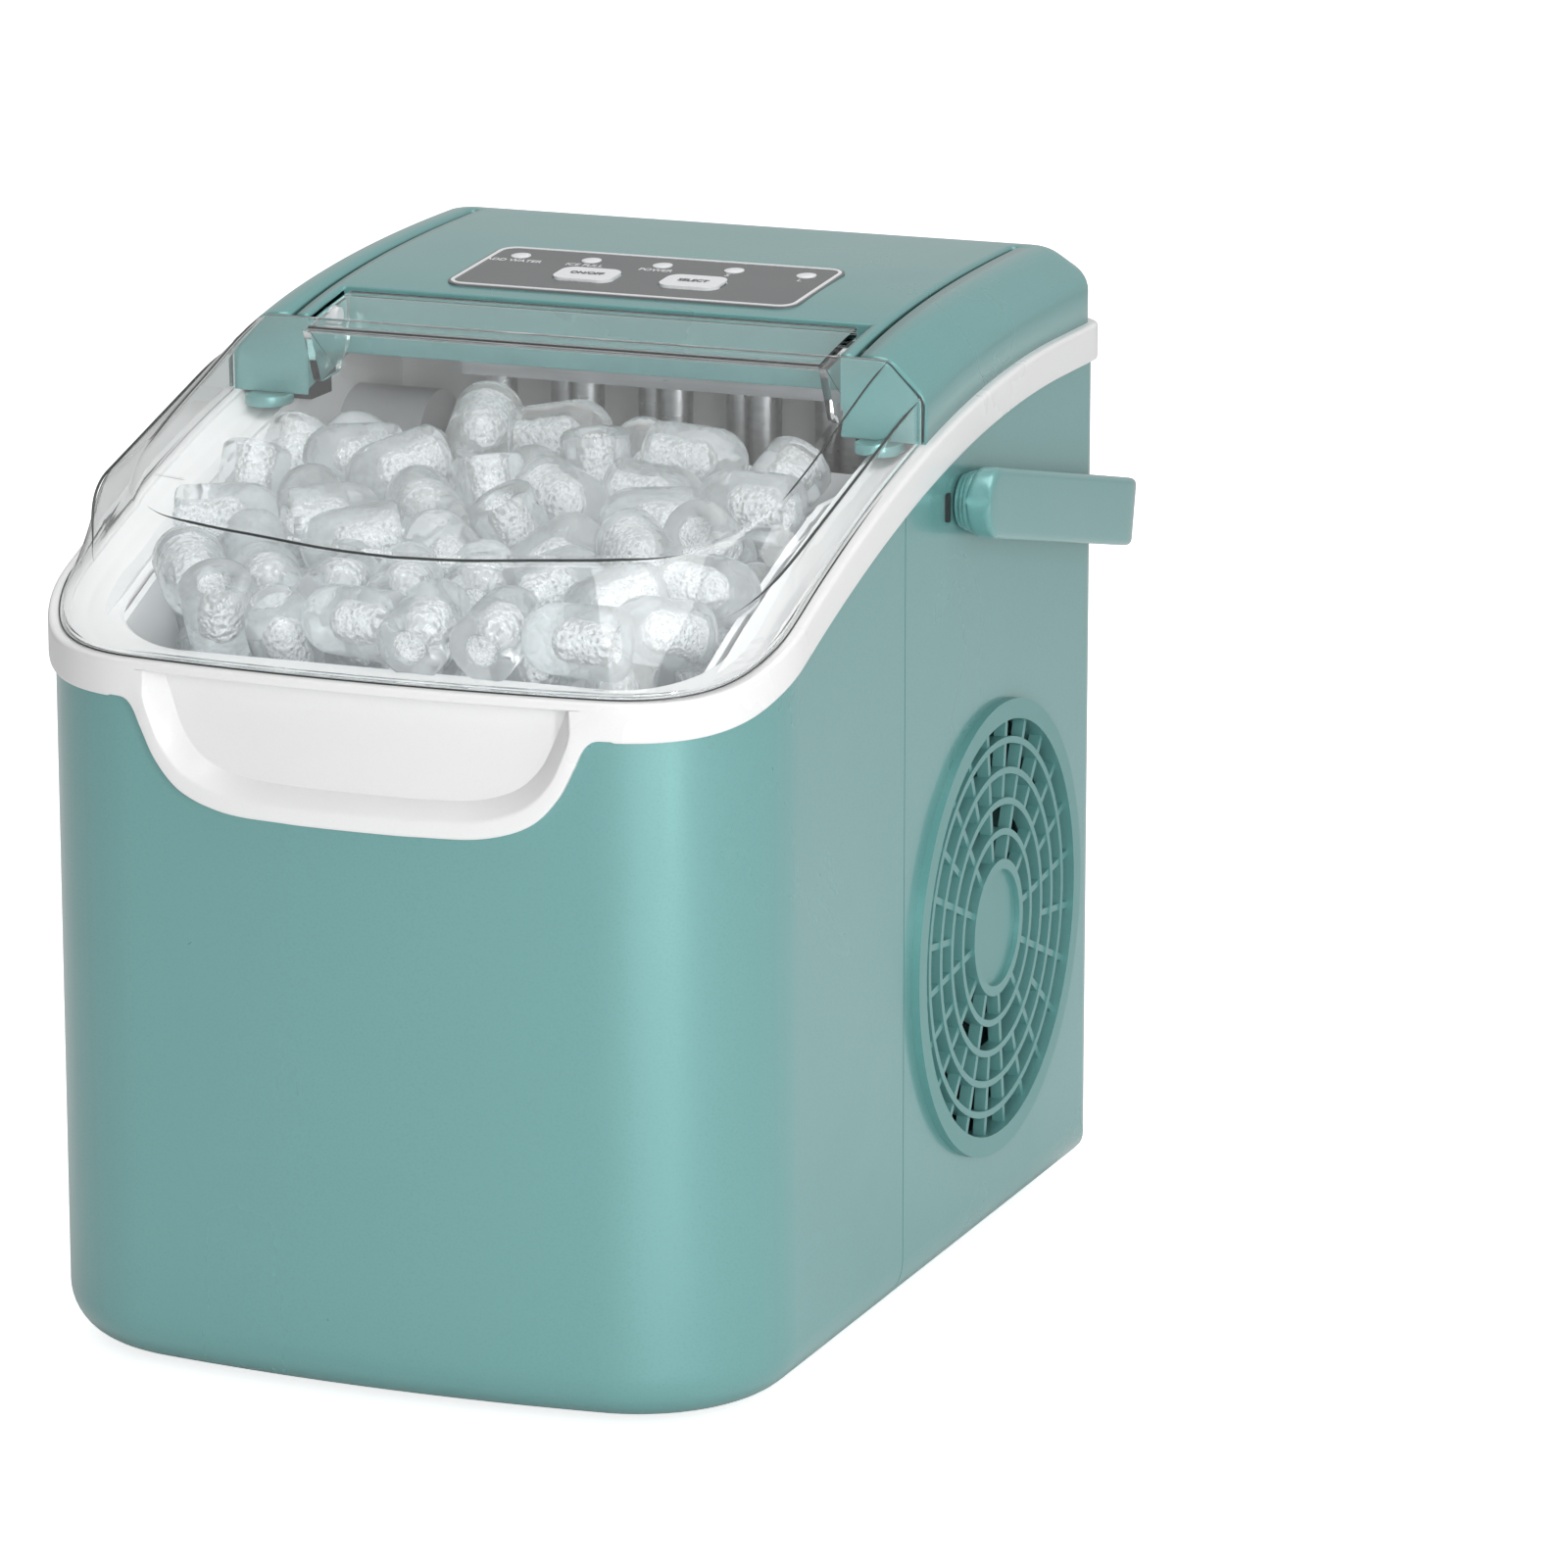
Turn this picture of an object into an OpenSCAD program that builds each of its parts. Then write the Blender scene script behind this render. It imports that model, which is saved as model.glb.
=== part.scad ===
// Countertop ice maker: a moulded two-part body with a white band, a clear hinged lid over an ice
// basket, a sloping top cover with a control panel, a swinging carry handle, and inside it the
// compressor, condenser, fan, freezing fingers, tilting water tray and pump that make the ice.
// Millimetres. +Z is up, the front faces -Y, and the origin is at the centre of the footprint.

/* [Body] */
// Width of the body, side to side
body_w = 222; // [185:1:270]
// Depth of the body, front to rear
body_d = 296.5; // [250:0.5:360]
// Height of the top cover above the underside of the body
body_h = 287.6; // [240:0.1:350]
// Wall thickness of the coloured body shells
wall = 2.6; // [2:0.1:3.2]
// Plan radius of the two front corners
front_corner_r = 47.5; // [30:0.5:60]
// Plan radius of the two rear corners
rear_corner_r = 10.7; // [6:0.1:20]
// How far the bowed front would stand out in the middle across the whole width
front_bow = 11.1; // [6:0.1:18]
// Radius of the rounded edge round the bottom
bottom_edge_r = 15.3; // [8:0.1:20]
// Distance from the rear face forward to the seam between the two shells
seam_from_rear = 163.25; // [150:0.25:175]

/* [White band] */
// Height of the band's upper edge at the rear, below the top of the body
band_rear_drop = 22.6; // [20:0.1:28]
// Height of the band's upper edge at the front, below the top of the body
band_front_drop = 81.2; // [70:0.1:95]
// Height of the band's face
band_h = 11.2; // [8:0.1:14]
// How far the band stands proud of the shells
band_proud = 2; // [1:0.1:3]
// Half width of the finger pocket's frame
pocket_hw = 67; // [50:0.5:75]
// Depth of the pocket's frame below the band's upper edge
pocket_h = 40.7; // [30:0.1:45]
// Corner radius of the pocket's frame
pocket_r = 30; // [20:0.5:34]
// How far the pocket reaches into the body
pocket_depth = 15; // [8:0.5:17]
// Width of the pocket's frame
pocket_frame = 8; // [5:0.5:10]

/* [Top cover and lid] */
// Distance from the rear face forward to the cover's front edge
cover_len = 145.25; // [140:0.25:150]
// Slope of the lid's flat top, in degrees
lid_slope = 19; // [15:0.5:21]
// Height that the top loses between its rear and the cover's front edge
cover_fall = 9.4; // [7:0.1:11]
// Width of the sloped edge along both sides of the top
chamfer_w = 11.5; // [6:0.5:14]
// Height of that sloped edge
chamfer_h = 10.5; // [6:0.5:12]
// Thickness of the cover's wall
cover_t = 2.4; // [2:0.1:3]
// Thickness of the clear lid
lid_t = 2.5; // [2:0.1:3]
// Depth of the notch in the cover that takes the lid's hinge tab
notch_d = 25; // [22:0.5:28]
// Half width of that notch
notch_hw = 84; // [60:0.5:86]
// How far the lid's front face runs back from rim to ridge
fascia_d = 26; // [20:0.5:34]
// Radius of the lid's hinge pins
hinge_pin_r = 2.5; // [2:0.1:3]
// Gap between the closed lid and what it meets
lid_gap = 0.6; // [0.4:0.1:1]

/* [Control panel] */
// Width of the control panel
panel_w = 112; // [100:1:118]
// Length of the control panel up the slope
panel_l = 46; // [42:0.5:48]
// Thickness of the control panel
panel_t = 1.8; // [1.5:0.1:2]
// Number of indicator lenses
led_count = 5; // [3:1:5]
// Spacing of the indicator lenses
led_pitch = 23; // [18:0.5:24]
// Radius of an indicator lens
led_r = 3; // [2:0.1:4]
// Width of a push button
button_w = 19; // [16:0.5:22]
// Length of a push button up the slope
button_l = 13; // [10:0.5:14]
// Travel of a push button
button_travel = 0.8; // [0.5:0.1:1]

/* [Carry handle] */
// Thickness of a handle arm
arm_t = 7.6; // [5:0.1:9]
// Height of a handle arm
arm_h = 20.6; // [14:0.1:22]
// Clear reach of the handle from its pivots to its crossbar
handle_reach = 129.5; // [128:0.5:140]
// Thickness of the crossbar
bar_t = 8.5; // [6:0.5:12]
// Angle of the folded handle below horizontal
handle_droop = 12.2; // [8:0.1:14]
// Distance from the rear face forward to the handle's pivots
pivot_from_rear = 118.75; // [115:0.25:122]
// Height of the handle's pivots, below the top of the body
pivot_drop = 55.9; // [52:0.1:60]
// Gap between the side of the body and a handle arm
arm_gap = 5.1; // [4.5:0.1:7]
// Radius of the handle's pivot shafts
pivot_r = 5; // [4:0.1:6]

/* [Vent grilles] */
// Outer radius of a round grille
grille_r = 68.4; // [60:0.1:70]
// Distance from the rear face forward to a grille's centre
grille_from_rear = 88.95; // [86:0.05:92]
// Height of a grille's centre
grille_z = 96.9; // [92:0.1:110]
// How far a grille's rim stands proud
grille_proud = 2.5; // [1.5:0.1:3]
// Radius of a grille's solid hub
hub_r = 20.5; // [15:0.5:24]
// Number of spokes in a grille
spoke_count = 24; // [16:2:30]

/* [Ice bin] */
// Depth of the water reservoir's floor below the band's front edge
bin_depth = 106; // [95:1:110]
// Wall thickness of the bin liner
liner_t = 2.2; // [1.8:0.1:3]
// Height of the basket's floor above the reservoir's floor
basket_lift_off = 20; // [14:1:26]
// Wall thickness of the ice basket
basket_t = 2; // [1.6:0.1:2.6]
// How far the basket can be raised under the closed lid
basket_travel = 10; // [5:1:12]

/* [Ice making] */
// Radius of a freezing finger
finger_r = 4.75; // [4:0.05:5.5]
// Length of a freezing finger
finger_l = 43; // [36:0.5:44]
// Inner radius of the tilting water tray
tray_r = 26; // [25:0.5:27]
// Wall thickness of the water tray
tray_t = 2; // [1.5:0.1:2.2]
// Largest tilt of the water tray, in degrees
tray_tilt = 55; // [40:1:55]

/* [Cooling] */
// Radius of the compressor's shell
compressor_r = 43; // [38:0.5:44]
// Height of the compressor's shell
compressor_h = 112; // [100:1:124]
// Sweep radius of the fan
fan_r = 41; // [36:0.5:42]
// Number of fan blades
blade_count = 7; // [5:1:9]
// Number of fins on the condenser
fin_count = 22; // [16:1:26]
// Number of tube runs in the condenser
run_count = 8; // [6:1:8]

/* [Fittings] */
// Height of the rubber feet
foot_h = 3; // [2:0.5:5]
// Radius of a rubber foot
foot_r = 9; // [7:0.5:11]
// Bore radius of the rear cord gland
gland_bore_r = 3.8; // [3:0.1:4.5]
// Radius of the drain plug's head
drain_r = 9; // [7:0.5:11]
// How far the drain plug pulls out
drain_travel = 14; // [10:1:18]

/* [Hidden] */
$fn = 64;

eps = 0.02;
fit = 0.05;          // radial running clearance of shafts and pins
far = 400;           // larger than any side of the body
half_w = body_w / 2;
front_bow_r = (pow(half_w, 2) + pow(front_bow, 2)) / (2 * front_bow);
front_y = -body_d / 2;
rear_y = body_d / 2;
seam_y = rear_y - seam_from_rear;

// Top line, seen from the side: a straight slope over the lid that eases into the level rear.
cover_y = rear_y - cover_len;
cover_edge_z = body_h - cover_fall;
ease_start_y = cover_y - 21;
ease_end_y = rear_y - 8.25;
ease_start_z = cover_edge_z - 21 * tan(lid_slope);
ease_mid_y = cover_y + cover_fall / tan(lid_slope);
notch_y = cover_y + notch_d;

// Band line, seen from the side: low across the front, rising in one long S to the rear.
band_front_z = body_h - band_front_drop;
band_rear_z = body_h - band_rear_drop;
rise_start_y = front_y + 20;
rise_mid_y = rear_y - 148;
rise_end_y = rear_y - 38;
rise_arm = 14;

panel_front_y = notch_y + 8;
panel_rise = top_z(panel_front_y + panel_l) - top_z(panel_front_y);
panel_tilt = atan(panel_rise / panel_l);
panel_recess = 1.2;
button_x = 17;
button_y = -4.5;
led_y = 12.7;
board_drop = 8.5;    // from the panel's seat down to the board's upper face
switch_h = 3.6;
stem_gap = button_travel + 0.2;

hinge_y = cover_y + 12;
hinge_z = cover_edge_z - 4.6;
tab_clear = 3.2;     // gap behind the hinge tab, so that it can turn
cheek_x = notch_hw - 1.6;
cheek_t = 2.4;

pivot_y = rear_y - pivot_from_rear;
pivot_z = body_h - pivot_drop;
arm_x = half_w + arm_gap;
handle_half_w = arm_x + arm_t;
handle_end_r = arm_h / 2;
handle_corner_r = 25;

grille_y = rear_y - grille_from_rear;
grille_wall_r = grille_r - 3;

pocket_top_z = band_front_z;
pocket_bottom_z = band_front_z - pocket_h;

bin_hw = half_w - 18;
bin_inset = 11.7;                         // the liner's front corners follow the body's
bin_front_y = front_y + 24;
bin_rear_y = cover_y + 19;
bin_floor_z = band_front_z - bin_depth;
trough_rear_y = cover_y + 85;
axis_y = cover_y + 53;                    // tilt axis of the water tray
plate_z = body_h - 32.6;                  // underside of the evaporator plate
axis_z = plate_z - 25;
trough_floor_z = axis_z - 34;
basket_gap = 3;
basket_floor_z = bin_floor_z + basket_lift_off;
rim_seat = 7;                             // liner's rim rests this far below the band's upper edge
rim_t = 2.3;
ledge_front_y = front_y + pocket_depth + 4;
basket_rim_z = hinge_z - 35;              // the basket's rim keeps clear of the lid's hinge

motor_x = -bin_hw;                        // the tray motor hangs on the liner's left wall
motor_l = 27;
motor_r = 16;
tray_x0 = motor_x + motor_l + 7;
tray_x1 = bin_hw - 7;
plate_x0 = tray_x0 + 8;
plate_x1 = tray_x1 - 6;
plate_t = 4;
evap_tube_z = plate_z + plate_t + 3;
evap_end_x = plate_x1 - 8;
finger_row_dy = 8;
finger_pitch = (plate_x1 - plate_x0 - 18) / 4;
stub_r = 4;

pan_t = 1.5;
pan_z = wall;
deck_z = wall + pan_t;                    // what stands on the base pan
comp_x = half_w - wall - 18 - compressor_r;
comp_y = rear_y - 68;
dome_h = 18;
comp_z = deck_z + 10;
comp_top_z = comp_z + compressor_h;
dome_r = (pow(compressor_r - 1.5, 2) + pow(dome_h, 2)) / (2 * dome_h);
core_w = 22;
core_x = -half_w + 7.5;
core_l = 92;
core_h = 90;
fan_y = rear_y - 64;
fan_z = 85;
fan_x = core_x + core_w + 3;
blade_w = 12;
coil_x = core_x + core_w / 2;
coil_end_y = fan_y - core_l / 2 - 3;
drier_x = comp_x - compressor_r - 16;
drier_y = rear_y - 14;
bundle_x = drier_x + 32;
bundle_y = drier_y - 16;
bundle_z = 200;
gland_x = -40;
gland_z = 26;
drain_y = front_y + 88;
drain_z = 30;

/* Curves and shared shapes */

function bez(a, b, c, t) = a * pow(1 - t, 2) + b * 2 * t * (1 - t) + c * t * t;
function unit(v) = v / norm(v);

// Height of the top at any y: straight, then a quadratic curve, then level.
function ease_t(y) = let (a = ease_start_y - 2 * ease_mid_y + ease_end_y,
                          b = 2 * (ease_mid_y - ease_start_y))
    (sqrt(b * b + 4 * a * (y - ease_start_y)) - b) / (2 * a);
function top_z(y) = y <= ease_start_y ? ease_start_z - (ease_start_y - y) * tan(lid_slope)
    : y >= ease_end_y ? body_h
    : bez(ease_start_z, body_h, body_h, ease_t(y));

// Points of the top line, front to rear.
top_steps = 8;
top_ys = concat([front_y - 12, ease_start_y],
                [for (i = [1 : top_steps]) bez(ease_start_y, ease_mid_y, ease_end_y, i / top_steps)],
                [rear_y + 10]);

// Points of a band edge that is zf high at the front and zr at the rear.
function band_line(zf, zr) = let (
        corner = [rise_start_y, zf],
        rise = unit([rise_mid_y, zr] - corner) * rise_arm)
    concat([[front_y - far, zf]],
           [for (i = [0 : 4]) bez(corner - [rise_arm, 0], corner, corner + rise, i / 4)],
           [for (i = [1 : 10]) bez(corner + rise, [rise_mid_y, zr], [rise_end_y, zr], i / 10)],
           [[rear_y + far, zr]]);

// Everything below a band edge that lies dz above the band's upper edge.
module below_band(dz) {
    rotate([90, 0, 90]) linear_extrude(far, center = true)
        polygon(concat([[front_y - far, -far]], band_line(band_front_z + dz, band_rear_z + dz),
                       [[rear_y + far, -far]]));
}

// Outline in plan: bowed front, two large front arcs, straight sides, two small rear arcs.
module plan(inset = 0) {
    hw = half_w - inset;
    r = front_corner_r - inset;
    rr = max(rear_corner_r - inset, 0.5);
    ry = rear_y - inset;
    rb = front_bow_r - inset;
    bow_y = front_y + front_bow_r;
    arc_y = bow_y - sqrt(pow(rb - r, 2) - pow(hw - r, 2));
    touch_x = rb * (hw - r) / (rb - r);
    intersection() {
        translate([0, bow_y]) circle(rb, $fn = 720);
        translate([-touch_x, front_y - 10]) square([2 * touch_x, arc_y - front_y + 10]);
    }
    for (s = [-1, 1]) {
        translate([s * (hw - r), arc_y]) circle(r, $fn = 96);
        translate([s * (hw - rr), ry - rr]) circle(rr);
    }
    polygon([[-hw, arc_y], [hw, arc_y], [hw, ry - rr], [hw - rr, ry], [rr - hw, ry], [-hw, ry - rr]]);
}

module plan_block(inset, z0, z1) {
    translate([0, 0, z0]) linear_extrude(z1 - z0) plan(inset);
}

// A strip from a to b whose two lower corners are rounded.
module tub_section(a, b, inset) {
    r = bottom_edge_r - inset;
    translate([a, inset + r]) square([b - a, far]);
    translate([a + r, inset]) square([b - a - 2 * r, r + 1]);
    for (x = [a + r, b - r]) translate([x, inset + r]) circle(r);
}

// The body as a solid block with its bottom edges rounded, drawn in by inset all round.
module body_block(inset) {
    intersection() {
        plan_block(inset, inset - 5, body_h);
        rotate([90, 0, 90]) linear_extrude(far, center = true)
            tub_section(front_y + inset, rear_y - inset, inset);
        rotate([90, 0, 0]) linear_extrude(far * 2, center = true)
            tub_section(inset - half_w, half_w - inset, inset);
    }
}

// A hollow body shell, open above, with a ledge round its underside for the base pan.
module body_shell() {
    difference() {
        intersection() {
            body_block(0);
            below_band(-band_h);
        }
        body_block(wall);
        plan_block(44, -1, wall + 1);
    }
}

// One section across the top: level middle, sloped edges and upright sides.
function top_section(y, t) = let (
        hw = half_w - 1 - t,
        z = top_z(y),
        edge = atan(chamfer_h / chamfer_w),
        low = z - chamfer_h - t * tan((90 - edge) / 2),
        mid = half_w - 1 - chamfer_w - t * tan(edge / 2))
    [[-hw, y, 100], [-hw, y, low], [-mid, y, z - t], [mid, y, z - t], [hw, y, low], [hw, y, 100]];

// The top's sections joined into one solid whose skin lies t inside the outer one.
module top_block(t) {
    n = len(top_ys);
    polyhedron(
        points = [for (y = top_ys) each top_section(y, t)],
        faces = concat(
            [[0, 1, 2, 3, 4, 5]],
            [for (i = [0 : n - 2], j = [0 : 5])
                [i * 6 + j, (i + 1) * 6 + j, (i + 1) * 6 + (j + 1) % 6, i * 6 + (j + 1) % 6]],
            [[for (j = [5 : -1 : 0]) (n - 1) * 6 + j]]));
}

module rounded_rect(w, l, r) {
    square([w - 2 * r, l], center = true);
    square([w, l - 2 * r], center = true);
    for (x = [-1, 1], y = [-1, 1]) translate([x * (w / 2 - r), y * (l / 2 - r)]) circle(r);
}

// A round bar or tube along X, from x0 to x1.
module x_bar(x0, x1, y, z, r) {
    translate([x0, y, z]) rotate([0, 90, 0]) cylinder(h = x1 - x0, r = r);
}

// Pipe of radius r through a list of points, with a ball at each bend.
module pipe(points, r) {
    for (i = [0 : len(points) - 2]) {
        d = points[i + 1] - points[i];
        translate(points[i]) rotate([0, acos(d.z / norm(d)), atan2(d.y, d.x)])
            cylinder(h = norm(d), r = r, $fn = 24);
    }
    for (i = [1 : 1 : len(points) - 2]) translate(points[i]) sphere(r, $fn = 24);
}

module mirrored() {
    children();
    mirror([1, 0, 0]) children();
}

/* Casing */

// Outline of the pocket's frame across the front, drawn in by inset.
module pocket_outline(inset = 0) {
    r = pocket_r - inset;
    hw = pocket_hw - inset;
    z0 = pocket_bottom_z + inset;
    translate([-hw, z0 + r]) square([2 * hw, pocket_top_z - z0 - r + 20]);
    translate([r - hw, z0]) square([2 * (hw - r), r + 1]);
    for (s = [-1, 1]) translate([s * (hw - r), z0 + r]) circle(r);
}

module pocket_block(inset, depth) {
    translate([0, front_y + depth, 0]) rotate([90, 0, 0]) linear_extrude(depth + 20)
        pocket_outline(inset);
}

module foot_spots() {
    for (x = [-1, 1], y = [front_y + 40, rear_y - 28]) translate([x * (half_w - 38), y, 0]) children();
}

module screw_spots() {
    for (x = [-1, 1], y = [front_y + 64, rear_y - 50]) translate([x * (half_w - 36), y, 0]) children();
}

module base_holes() {
    foot_spots() translate([0, 0, -1]) cylinder(h = 8, r = 3 + fit);
    screw_spots() translate([0, 0, -1]) cylinder(h = 8, r = 1.6);
}

module front_shell() {
    color("cadetblue") difference() {
        intersection() {
            body_shell();
            translate([-far, seam_y - far, -far]) cube([2 * far, far, 2 * far]);
        }
        pocket_block(-0.2, 30);
        base_holes();
        translate([-half_w, drain_y, drain_z]) rotate([0, 90, 0])
            cylinder(h = 20, r = drain_r - 2 + fit, center = true);
    }
}

module rear_housing() {
    color("cadetblue") difference() {
        intersection() {
            body_shell();
            translate([-far, seam_y + 0.2, -far]) cube([2 * far, far, 2 * far]);
        }
        base_holes();
        mirrored() {
            x_bar(half_w - 10, half_w + 10, grille_y, grille_z, grille_wall_r + 0.1);
            x_bar(half_w - 10, half_w + 10, pivot_y, pivot_z, pivot_r + fit);
        }
        translate([gland_x, rear_y, gland_z]) rotate([90, 0, 0])
            cylinder(h = 20, r = gland_bore_r + 2.5 + fit, center = true);
    }
}

module base_pan() {
    color("silver") difference() {
        plan_block(bottom_edge_r + 2, pan_z, deck_z);
        base_holes();
        grommet_spots() translate([0, 0, pan_z - 1]) cylinder(h = 4, r = 2.2);
    }
}

module rubber_feet() {
    color("dimgray") foot_spots() {
        translate([0, 0, -foot_h]) cylinder(h = foot_h, r = foot_r);
        translate([0, 0, -eps]) cylinder(h = deck_z + 2, r = 3);
    }
}

module base_screws() {
    color("silver") screw_spots() {
        translate([0, 0, -1.6]) cylinder(h = 1.6, r = 3.4);
        translate([0, 0, -eps]) cylinder(h = deck_z + 4, r = 1.5);
    }
}

module white_band() {
    color("white") difference() {
        union() {
            // the band itself
            difference() {
                plan_block(-band_proud, band_front_z - 30, body_h);
                below_band(-band_h);
                plan_block(wall, 0, far);
            }
            // the pocket's frame, which hangs below the band at the front
            difference() {
                intersection() {
                    plan_block(-band_proud, 0, body_h);
                    pocket_block(0, 30);
                }
                plan_block(wall, -1, far);
            }
            // the ledge inside, which carries the liner's rim
            intersection() {
                difference() {
                    plan_block(wall - eps, band_front_z - 30, body_h);
                    plan_block(9, 0, far);
                    below_band(-rim_seat - 2.4);
                }
                translate([-far, ledge_front_y, 0]) cube([2 * far, trough_rear_y - ledge_front_y, far]);
            }
        }
        difference() {
            translate([-far, -far, 0]) cube([2 * far, 2 * far, 2 * far]);
            below_band(0);
        }
        intersection() {
            plan_block(wall - 2 * eps, 0, far);
            difference() {
                translate([-far, -far, 0]) cube([2 * far, 2 * far, 2 * far]);
                below_band(-rim_seat);
            }
        }
        pocket_block(pocket_frame, 30);
    }
}

module finger_pocket() {
    color("white") difference() {
        intersection() {
            plan_block(wall + 0.05, pocket_bottom_z, band_front_z - 0.4);
            pocket_block(0.5, pocket_depth + 2.2);
        }
        pocket_block(pocket_frame, pocket_depth);
    }
}

/* Ice bin */

// The space inside the liner: a deep reservoir, and behind it the trough under the freezing fingers.
module bin_space(grow) {
    intersection() {
        union() {
            translate([-bin_hw - grow, bin_front_y - grow, bin_floor_z - grow])
                cube([2 * (bin_hw + grow), bin_rear_y - bin_front_y + 2 * grow, far]);
            translate([-bin_hw - grow, bin_rear_y - 5, trough_floor_z - grow])
                cube([2 * (bin_hw + grow), trough_rear_y - bin_rear_y + 5 + grow, far]);
        }
        plan_block(bin_inset - grow, 0, far);
    }
}

module bin_liner() {
    color("whitesmoke") difference() {
        intersection() {
            union() {
                bin_space(liner_t);
                // the rim, which rests on the band's inner ledge
                difference() {
                    plan_block(wall + 0.6, band_front_z - 30, body_h);
                    below_band(-rim_seat + 0.05);
                    translate([-far, -far, 0]) cube([2 * far, far + bin_front_y - 5, far]);
                    translate([-far, trough_rear_y + 3, 0]) cube([2 * far, far, far]);
                }
            }
            below_band(-rim_seat + rim_t);
        }
        bin_space(0);
        x_bar(bin_hw - 5, bin_hw + 5, axis_y, axis_z, 7 + fit);
        translate([pump_x, hose_y, trough_floor_z - 5]) cylinder(h = 10, r = 4 + fit);
        translate([pump_x, pump_y, bin_floor_z - 5]) cylinder(h = 10, r = 6 + fit);
        translate([drain_tap_x, drain_y, bin_floor_z - 5]) cylinder(h = 10, r = 5 + fit);
        translate([evap_end_x, trough_rear_y - 1, evap_tube_z]) rotate([-90, 0, 0]) cylinder(h = 6, r = 3.5);
    }
}

module bin_insulation() {
    color("lightyellow") mirrored()
        translate([bin_hw + liner_t + 0.3, bin_front_y + 16, bin_floor_z])
            cube([9.5, bin_rear_y - bin_front_y - 20, 84]);
}

module ice_basket() {
    hw = bin_hw - basket_gap;
    y0 = bin_front_y + basket_gap;
    y1 = bin_rear_y - basket_gap;
    slots = 9;
    slot_pitch = (2 * hw - 20) / slots;
    color("white") difference() {
        intersection() {
            translate([-hw, y0, basket_floor_z]) cube([2 * hw, y1 - y0, basket_rim_z - basket_floor_z]);
            plan_block(bin_inset + basket_gap, 0, far);
            below_band(-rim_seat);
        }
        intersection() {
            translate([basket_t - hw, y0 + basket_t, basket_floor_z + basket_t])
                cube([2 * (hw - basket_t), y1 - y0 - 2 * basket_t, far]);
            plan_block(bin_inset + basket_gap + basket_t, 0, far);
        }
        for (i = [0 : slots - 1])
            translate([10 - hw + (i + 0.5) * slot_pitch - 2, y0 + 14, basket_floor_z - 1])
                cube([4, y1 - y0 - 28, 10]);
    }
}

/* Top cover */

module notch(grow) {
    translate([-notch_hw - grow, cover_y - 30, 100]) cube([2 * (notch_hw + grow), notch_d + 30 + grow, far]);
}

// Side outline of the cover, rear edge bevelled.
module cover_side(t) {
    bevel = 5.2;
    y1 = rear_y - 1 - t;
    rotate([90, 0, 90]) linear_extrude(far, center = true)
        polygon([[cover_y + t, 0], [cover_y + t, body_h + 30], [y1 - 6 * bevel, body_h + 30],
                 [y1 - bevel, body_h], [y1, body_h - 6], [y1, 0]]);
}

module on_panel() {
    translate([0, panel_front_y + panel_l / 2, (top_z(panel_front_y) + top_z(panel_front_y + panel_l)) / 2])
        rotate([panel_tilt, 0, 0]) translate([0, 0, -panel_recess]) children();
}

module panel_holes(extra) {
    for (i = [0 : led_count - 1])
        translate([(i - (led_count - 1) / 2) * led_pitch, led_y, -5]) cylinder(h = 10, r = led_r + 0.1 + extra);
    for (s = [-1, 1]) translate([s * button_x, button_y, -5]) linear_extrude(10)
        rounded_rect(button_w + 0.7, button_l + 0.7, 4.3);
}

module top_cover() {
    wall_foot_z = plate_z + 6.5;
    color("cadetblue") difference() {
        intersection() {
            top_block(0);
            plan_block(1, 0, far);
            cover_side(0);
        }
        below_band(0.3);
        // the hollow inside, leaving a wall round the notch
        difference() {
            intersection() {
                top_block(cover_t);
                plan_block(1 + cover_t, 0, far);
                cover_side(cover_t);
            }
            intersection() {
                notch(cover_t);
                translate([-far, -far, wall_foot_z]) cube([2 * far, 2 * far, far]);
            }
        }
        notch(0);
        mirrored() x_bar(notch_hw - 1, notch_hw + 5, hinge_y, hinge_z, hinge_pin_r + fit);
        on_panel() {
            linear_extrude(10) rounded_rect(panel_w + 0.3, panel_l + 0.3, 6);
            panel_holes(0.2);
        }
        cover_screw_spots() cylinder(h = 20, r = 1.6, center = true);
    }
}

module cover_screw_spots() {
    for (x = [-1, 1]) translate([x * (half_w - 30), rear_y - 1, body_h - 15]) rotate([-90, 0, 0]) children();
}

module cover_screws() {
    color("silver") cover_screw_spots() {
        cylinder(h = 1.4, r = 3);
        translate([0, 0, -9]) cylinder(h = 9 + eps, r = 1.5);
    }
}

module control_panel() {
    color("gray") on_panel() difference() {
        linear_extrude(panel_t) rounded_rect(panel_w, panel_l, 6);
        panel_holes(0);
    }
}

module push_button() {
    linear_extrude(panel_t + 0.9) rounded_rect(button_w, button_l, 4);
    translate([0, 0, -panel_recess - 1.4]) linear_extrude(panel_recess + 1.4 + eps)
        rounded_rect(button_w - 2, button_l - 2, 3);
    translate([0, 0, -panel_recess - 2.4]) linear_extrude(1.2) rounded_rect(button_w + 3, button_l + 1.6, 3);
    translate([0, 0, switch_h - board_drop + stem_gap])
        cylinder(h = board_drop - switch_h - stem_gap - panel_recess - 1.4, r = 2);
}

module power_button() {
    color("white") on_panel() translate([-button_x, button_y, 0]) push_button();
}

module select_button() {
    color("white") on_panel() translate([button_x, button_y, 0]) push_button();
}

module indicator_lenses() {
    color("lightgray") on_panel() for (i = [0 : led_count - 1])
        translate([(i - (led_count - 1) / 2) * led_pitch, led_y, 0])
            translate([0, 0, -board_drop + 2]) cylinder(h = board_drop - 2 + panel_t + 0.2, r = led_r);
}

module control_board() {
    color("darkgreen") on_panel() translate([0, 0, -board_drop - 1.6]) linear_extrude(1.6)
        rounded_rect(panel_w - 8, panel_l - 6, 2);
}

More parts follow.
